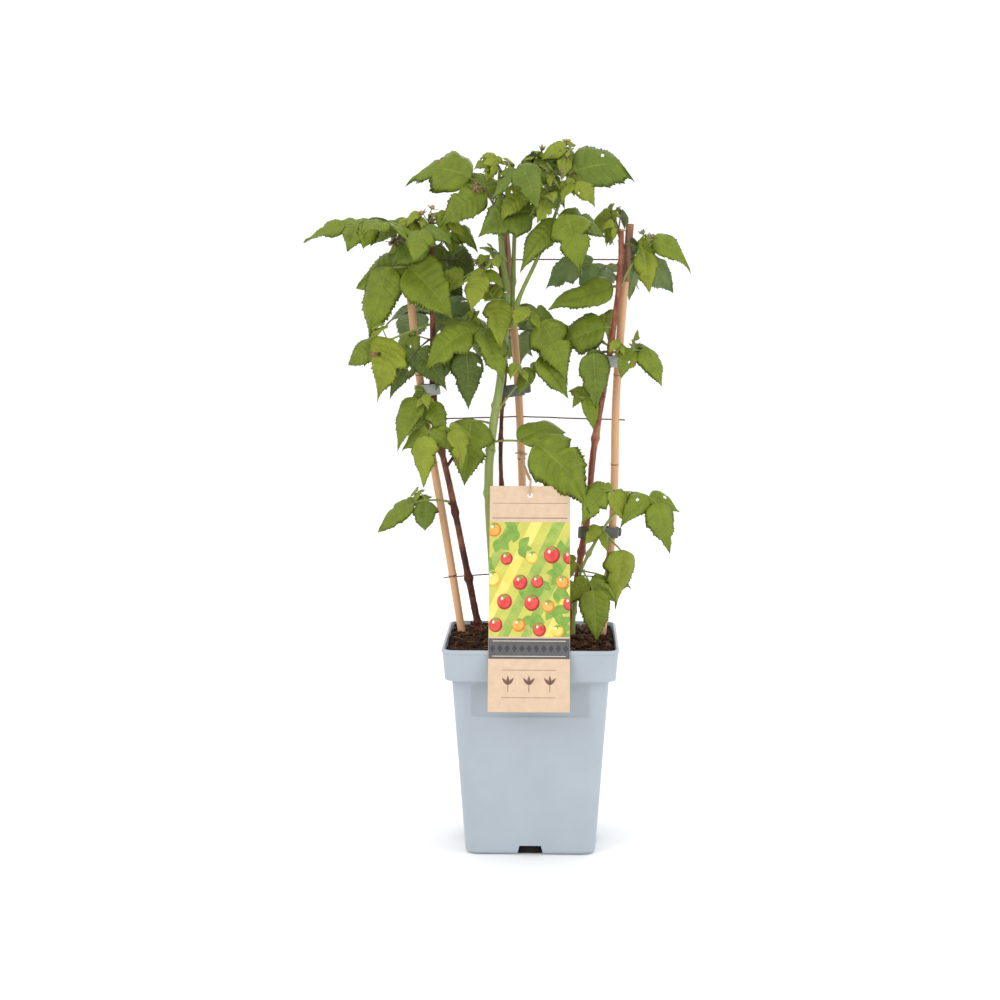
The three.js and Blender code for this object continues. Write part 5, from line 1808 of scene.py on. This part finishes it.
class RaspberryStageSettings(bpy.types.PropertyGroup):
    floor: colour("Floor", "Colour of the pale floor", (0.975, 0.975, 0.975))
    key: amount("Key light", "Power of the large soft light", 13, 500, "POWER")
    fill: amount("Fill light", "Power of the side light", 8, 500, "POWER")
    sky: amount("Room light", "Strength of the light from all round", 1.08, 5)


SETTINGS = {
    "raspberry_pot": RaspberryPotSettings,
    "raspberry_trellis": RaspberryTrellisSettings,
    "raspberry_plant": RaspberryPlantSettings,
    "raspberry_label": RaspberryLabelSettings,
    "raspberry_stage": RaspberryStageSettings,
}


# ---- operators ---------------------------------------------------------------------------------


def dress(piece, slot, *nodes):
    """Lets a piece stand for its solids, which it hides; its slot is not used."""
    if not piece.data.polygons:
        raise RuntimeError(piece.name + " has no faces")
    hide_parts(*nodes)
    return piece


class RASPBERRY_OT_pot(bpy.types.Operator):
    """Makes the square pot with its collar, lip, side panels and drain niches"""

    bl_idname = "raspberry.pot"
    bl_label = "Pot"

    def execute(self, context):
        sculpt, rings = Sculpt(), pot_rings()

        # Faces well inside a side panel take the panel finish, whose darker tint is painted shade from the
        # collar.
        def finish(r, k):
            middle = (rings[r][k] + rings[r + 1][(k + 1) % len(rings[r])]) / 2
            return "pot_panel" if panel_share(middle) > 0.4 else "pot_plastic"

        sculpt.loft(rings, finish)
        pot = sculpt.build("pot_shell")
        walls = niche_wedge(NICHE["wall"], 0, NICHE["depth"] + NICHE["wall"], 3, 0.8)
        cut_by(pot, on_each_side(walls, "pot_plastic").build("niche_walls"), "UNION")
        cuts = niche_wedge(0, -2, NICHE["depth"])
        cut_by(pot, on_each_side(cuts, "pot_plastic").build("niche_cuts"), "DIFFERENCE")
        for polygon in pot.data.polygons:
            polygon.use_smooth = True
        pot.data.set_sharp_from_angle(angle=math.radians(38))
        dress(pot, "pot", "pot")
        # Near-black plates at the back of each drain niche: painted shade, where the niche's back lies in
        # shade.
        shade_plates = niche_wedge(-0.4, 0.6, NICHE["depth"] - 0.3, 5.5)
        drain_shade_plates = on_each_side(shade_plates, "drain_dark").build("drain_openings")
        return {"FINISHED"}


class RASPBERRY_OT_compost(bpy.types.Operator):
    """Makes the crumbly compost with its loose crumbs and fibres"""

    bl_idname = "raspberry.compost"
    bl_label = "Compost"

    def execute(self, context):
        settings = context.scene.raspberry_pot
        dress(compost_bed().build("compost_bed"), "compost", "compost")
        compost_crumbs(seeded(SEEDS["crumbs"]), settings.crumbs).build("compost_crumbs")
        compost_fibres(seeded(SEEDS["fibres"]), settings.fibres).build("compost_fibres")
        return {"FINISHED"}


class RASPBERRY_OT_trellis(bpy.types.Operator):
    """Makes the bamboo rods and the wires threaded through them"""

    bl_idname = "raspberry.trellis"
    bl_label = "Trellis"

    def execute(self, context):
        sides = context.scene.raspberry_trellis.sides
        for i, name in enumerate(RODS):
            sculpt = Sculpt()
            bamboo_rod(sculpt, LIMBS[name], 11 * i, sides)
            dress(sculpt.build(name + "_rod", sharp=50), "bamboo", name)
        for name, height in WIRE_HEIGHTS.items():
            sculpt = Sculpt()
            trellis_wire(sculpt, height)
            dress(sculpt.build(name + "_run", sharp=50), "wire", name)
        return {"FINISHED"}


class RASPBERRY_OT_bands(bpy.types.Operator):
    """Makes the plastic bands that tie the canes to the rods"""

    bl_idname = "raspberry.bands"
    bl_label = "Bands"

    def execute(self, context):
        for name, tie in TIES.items():
            sculpt = Sculpt()
            plastic_band(sculpt, *tie)
            dress(sculpt.build(name + "_band", sharp=45), "tie", name)
        return {"FINISHED"}


class RASPBERRY_OT_label(bpy.types.Operator):
    """Makes the card label, its plain printed pattern and its twist tie"""

    bl_idname = "raspberry.label"
    bl_label = "Label"

    def execute(self, context):
        place = label_frame()
        card, ink, tie = Sculpt(), Sculpt(), Sculpt()
        card_body(card, place)
        card_print(ink, place)
        twist_tie(tie, place)
        dress(card.build("label_card", sharp=30), "card", "label")
        ink.build("label_print", sharp=30)
        dress(tie.build("label_twist_tie", sharp=50), "wire", "label_ring")
        return {"FINISHED"}


class RASPBERRY_OT_canes(bpy.types.Operator):
    """Makes the canes' bark, nodes, buds, stubs and prickles"""

    bl_idname = "raspberry.canes"
    bl_label = "Canes"

    def execute(self, context):
        prickle = context.scene.raspberry_plant.prickle / MM
        random = seeded(SEEDS["canes"])
        for name, (finish, _, _, prickles) in CANE_SKINS.items():
            limb = LIMBS[name]
            woody = finish.startswith("bark")
            sculpt = Sculpt()
            shaft(sculpt, name)
            for i, t in enumerate(limb.nodes(CANE_NODE_SPACING)):
                heading, size = 200 * i + 40 * random() + 230, 1.4 + 0.4 * random()
                node_bud(sculpt, limb, t, heading, size, "bark_dark" if woody else "petiole")
            scatter_prickles(sculpt, limb, prickles, prickle, random)
            for cut in STUBS.get(name, ()):
                stub(sculpt, limb, finish, *cut)
            dress(sculpt.build(name + "_skin", sharp=60), "bark" if woody else "green_stem", name)
        return {"FINISHED"}


class RASPBERRY_OT_foliage(bpy.types.Operator):
    """Grows every mass of leaves: stems, serrated leaflets and flower buds"""

    bl_idname = "raspberry.foliage"
    bl_label = "Foliage"

    def execute(self, context):
        plant = context.scene.raspberry_plant
        beds = {"left": {}, "crown": {}, "centre": {}, "right": {}, "back": {}}
        for index, name in enumerate(SHOOTS):
            beds.get(name.split("_")[0], beds["right"])[name] = index
        stems, buds = Sculpt(), Sculpt()
        leaf_random, bud_random, finer_random = (seeded(SEEDS[key]) for key in ("tones", "buds", "finer"))
        for bed, names in beds.items():
            leaves = Sculpt()
            for name, index in names.items():
                row = SHOOTS[name]
                stem, shoots, spray = grow_shoot(row, index)
                solid = MassSolid(name)
                # Sprays in shade get darker stalks: painted shade.
                dark = row.tone in ("dark", "shade")
                finish = "petiole_dark" if dark else "petiole_red" if row.red else "petiole"
                petiole(stems, stem, (1.25, 0.85), finish, LIMBS[row.limb].point_at(row.z))
                stipules(stems, stem[0].lerp(stem[1], 0.25), (stem[1] - stem[0]).normalized(), 5)
                for stalk, blades in shoots:
                    kept = [blade for blade in blades if solid.holds(blade)]
                    if stalk and kept:
                        petiole(stems, stalk, (0.85, 0.65), finish)
                    for blade in kept:
                        leaflet(leaves, blade, tone_of(row.tone, leaf_random), leaf_random, plant)
                # Finer leaves take the young tint, but in a shaded spray the darker mid tint: painted shade.
                young = "mid" if row.tone == "shade" else "young"
                for stalk, blades in finer_leaves(row, stem, finer_random):
                    petiole(stems, stalk, (0.7, 0.5), finish)
                    for blade in blades:
                        leaflet(leaves, blade, tone_of(young, leaf_random), leaf_random, plant)
                for start, end in spray + truss(stem, *row.truss, bud_random):
                    dry = row.dry and bud_random() < DRY_BUD_SHARE
                    flower_bud(buds, start, end, 0.75 if dry else 0.2 + 0.35 * bud_random(), dry)
            dress(leaves.build("leaves_" + bed), "leaf", *names)
        stems.build("leaf_stalks", sharp=60)
        buds.build("flower_buds", sharp=60)
        return {"FINISHED"}


class RASPBERRY_OT_stage(bpy.types.Operator):
    """Makes the pale floor, the soft lights and the camera"""

    bl_idname = "raspberry.stage"
    bl_label = "Stage"

    def execute(self, context):
        scene = context.scene
        settings = scene.raspberry_stage

        def placed(name, data):
            made = bpy.data.objects.new(name, data)
            scene.collection.objects.link(made)
            return made

        mesh = bpy.data.meshes.new("floor")
        corners = [(x, y, 0) for x, y in rectangle(-FLOOR_REACH, -FLOOR_REACH, FLOOR_REACH, FLOOR_REACH)]
        mesh.from_pydata(corners, [], [(0, 1, 2, 3)])
        mesh.materials.append(finish_named("floor_pale"))
        floor = placed("floor", mesh)
        floor.location.z = -FLOOR_DROP
        world = bpy.data.worlds.new("Soft room")
        world.use_nodes = True
        background = world.node_tree.nodes["Background"]
        background.inputs["Color"].default_value = (1, 1, 1, 1)
        background.inputs["Strength"].default_value = settings.sky
        scene.world = world
        scene.view_settings.view_transform = "Standard"
        for name, place, size, power in LIGHTS:
            light = bpy.data.lights.new(name, "AREA")
            light.shape = "DISK"
            light.size = size
            light.energy = getattr(settings, power)
            lamp = placed(name, light)
            lamp.location = place
            aim = Vector(LIGHT_TARGET) - Vector(place)
            lamp.rotation_euler = aim.to_track_quat("-Z", "Y").to_euler()
        lens = bpy.data.cameras.new("camera")
        lens.lens = CAMERA["lens"]
        lens.sensor_width = CAMERA["sensor"]
        lens.clip_end = 50
        camera = placed("camera", lens)
        camera.location = CAMERA["place"]
        camera.rotation_euler = (math.radians(90 + CAMERA["pitch"]), 0, math.radians(-CAMERA["yaw"]))
        scene.camera = camera
        return {"FINISHED"}


class RASPBERRY_PT_panel(bpy.types.Panel):
    """Lists the plant's pieces and their settings"""

    bl_idname = "RASPBERRY_PT_panel"
    bl_label = "Potted raspberry cane"
    bl_space_type = "VIEW_3D"
    bl_region_type = "UI"
    bl_category = "Raspberry"

    def draw(self, context):
        layout = self.layout
        for operator in OPERATORS:
            layout.operator(operator.bl_idname)
        for group, settings in SETTINGS.items():
            box = layout.box()
            for key in settings.__annotations__:
                box.prop(getattr(context.scene, group), key)


OPERATORS = (
    RASPBERRY_OT_pot,
    RASPBERRY_OT_compost,
    RASPBERRY_OT_trellis,
    RASPBERRY_OT_bands,
    RASPBERRY_OT_label,
    RASPBERRY_OT_canes,
    RASPBERRY_OT_foliage,
    RASPBERRY_OT_stage,
)
CLASSES = (*SETTINGS.values(), *OPERATORS, RASPBERRY_PT_panel)


def register():
    for made in CLASSES:
        bpy.utils.register_class(made)
    for group, settings in SETTINGS.items():
        setattr(bpy.types.Scene, group, bpy.props.PointerProperty(type=settings))


def unregister():
    for group in SETTINGS:
        delattr(bpy.types.Scene, group)
    for made in reversed(CLASSES):
        bpy.utils.unregister_class(made)


def main():
    register()
    bpy.ops.raspberry.pot()
    bpy.ops.raspberry.compost()
    bpy.ops.raspberry.trellis()
    bpy.ops.raspberry.bands()
    bpy.ops.raspberry.label()
    bpy.ops.raspberry.canes()
    bpy.ops.raspberry.foliage()
    bpy.ops.raspberry.stage()


if __name__ == "__main__":
    main()
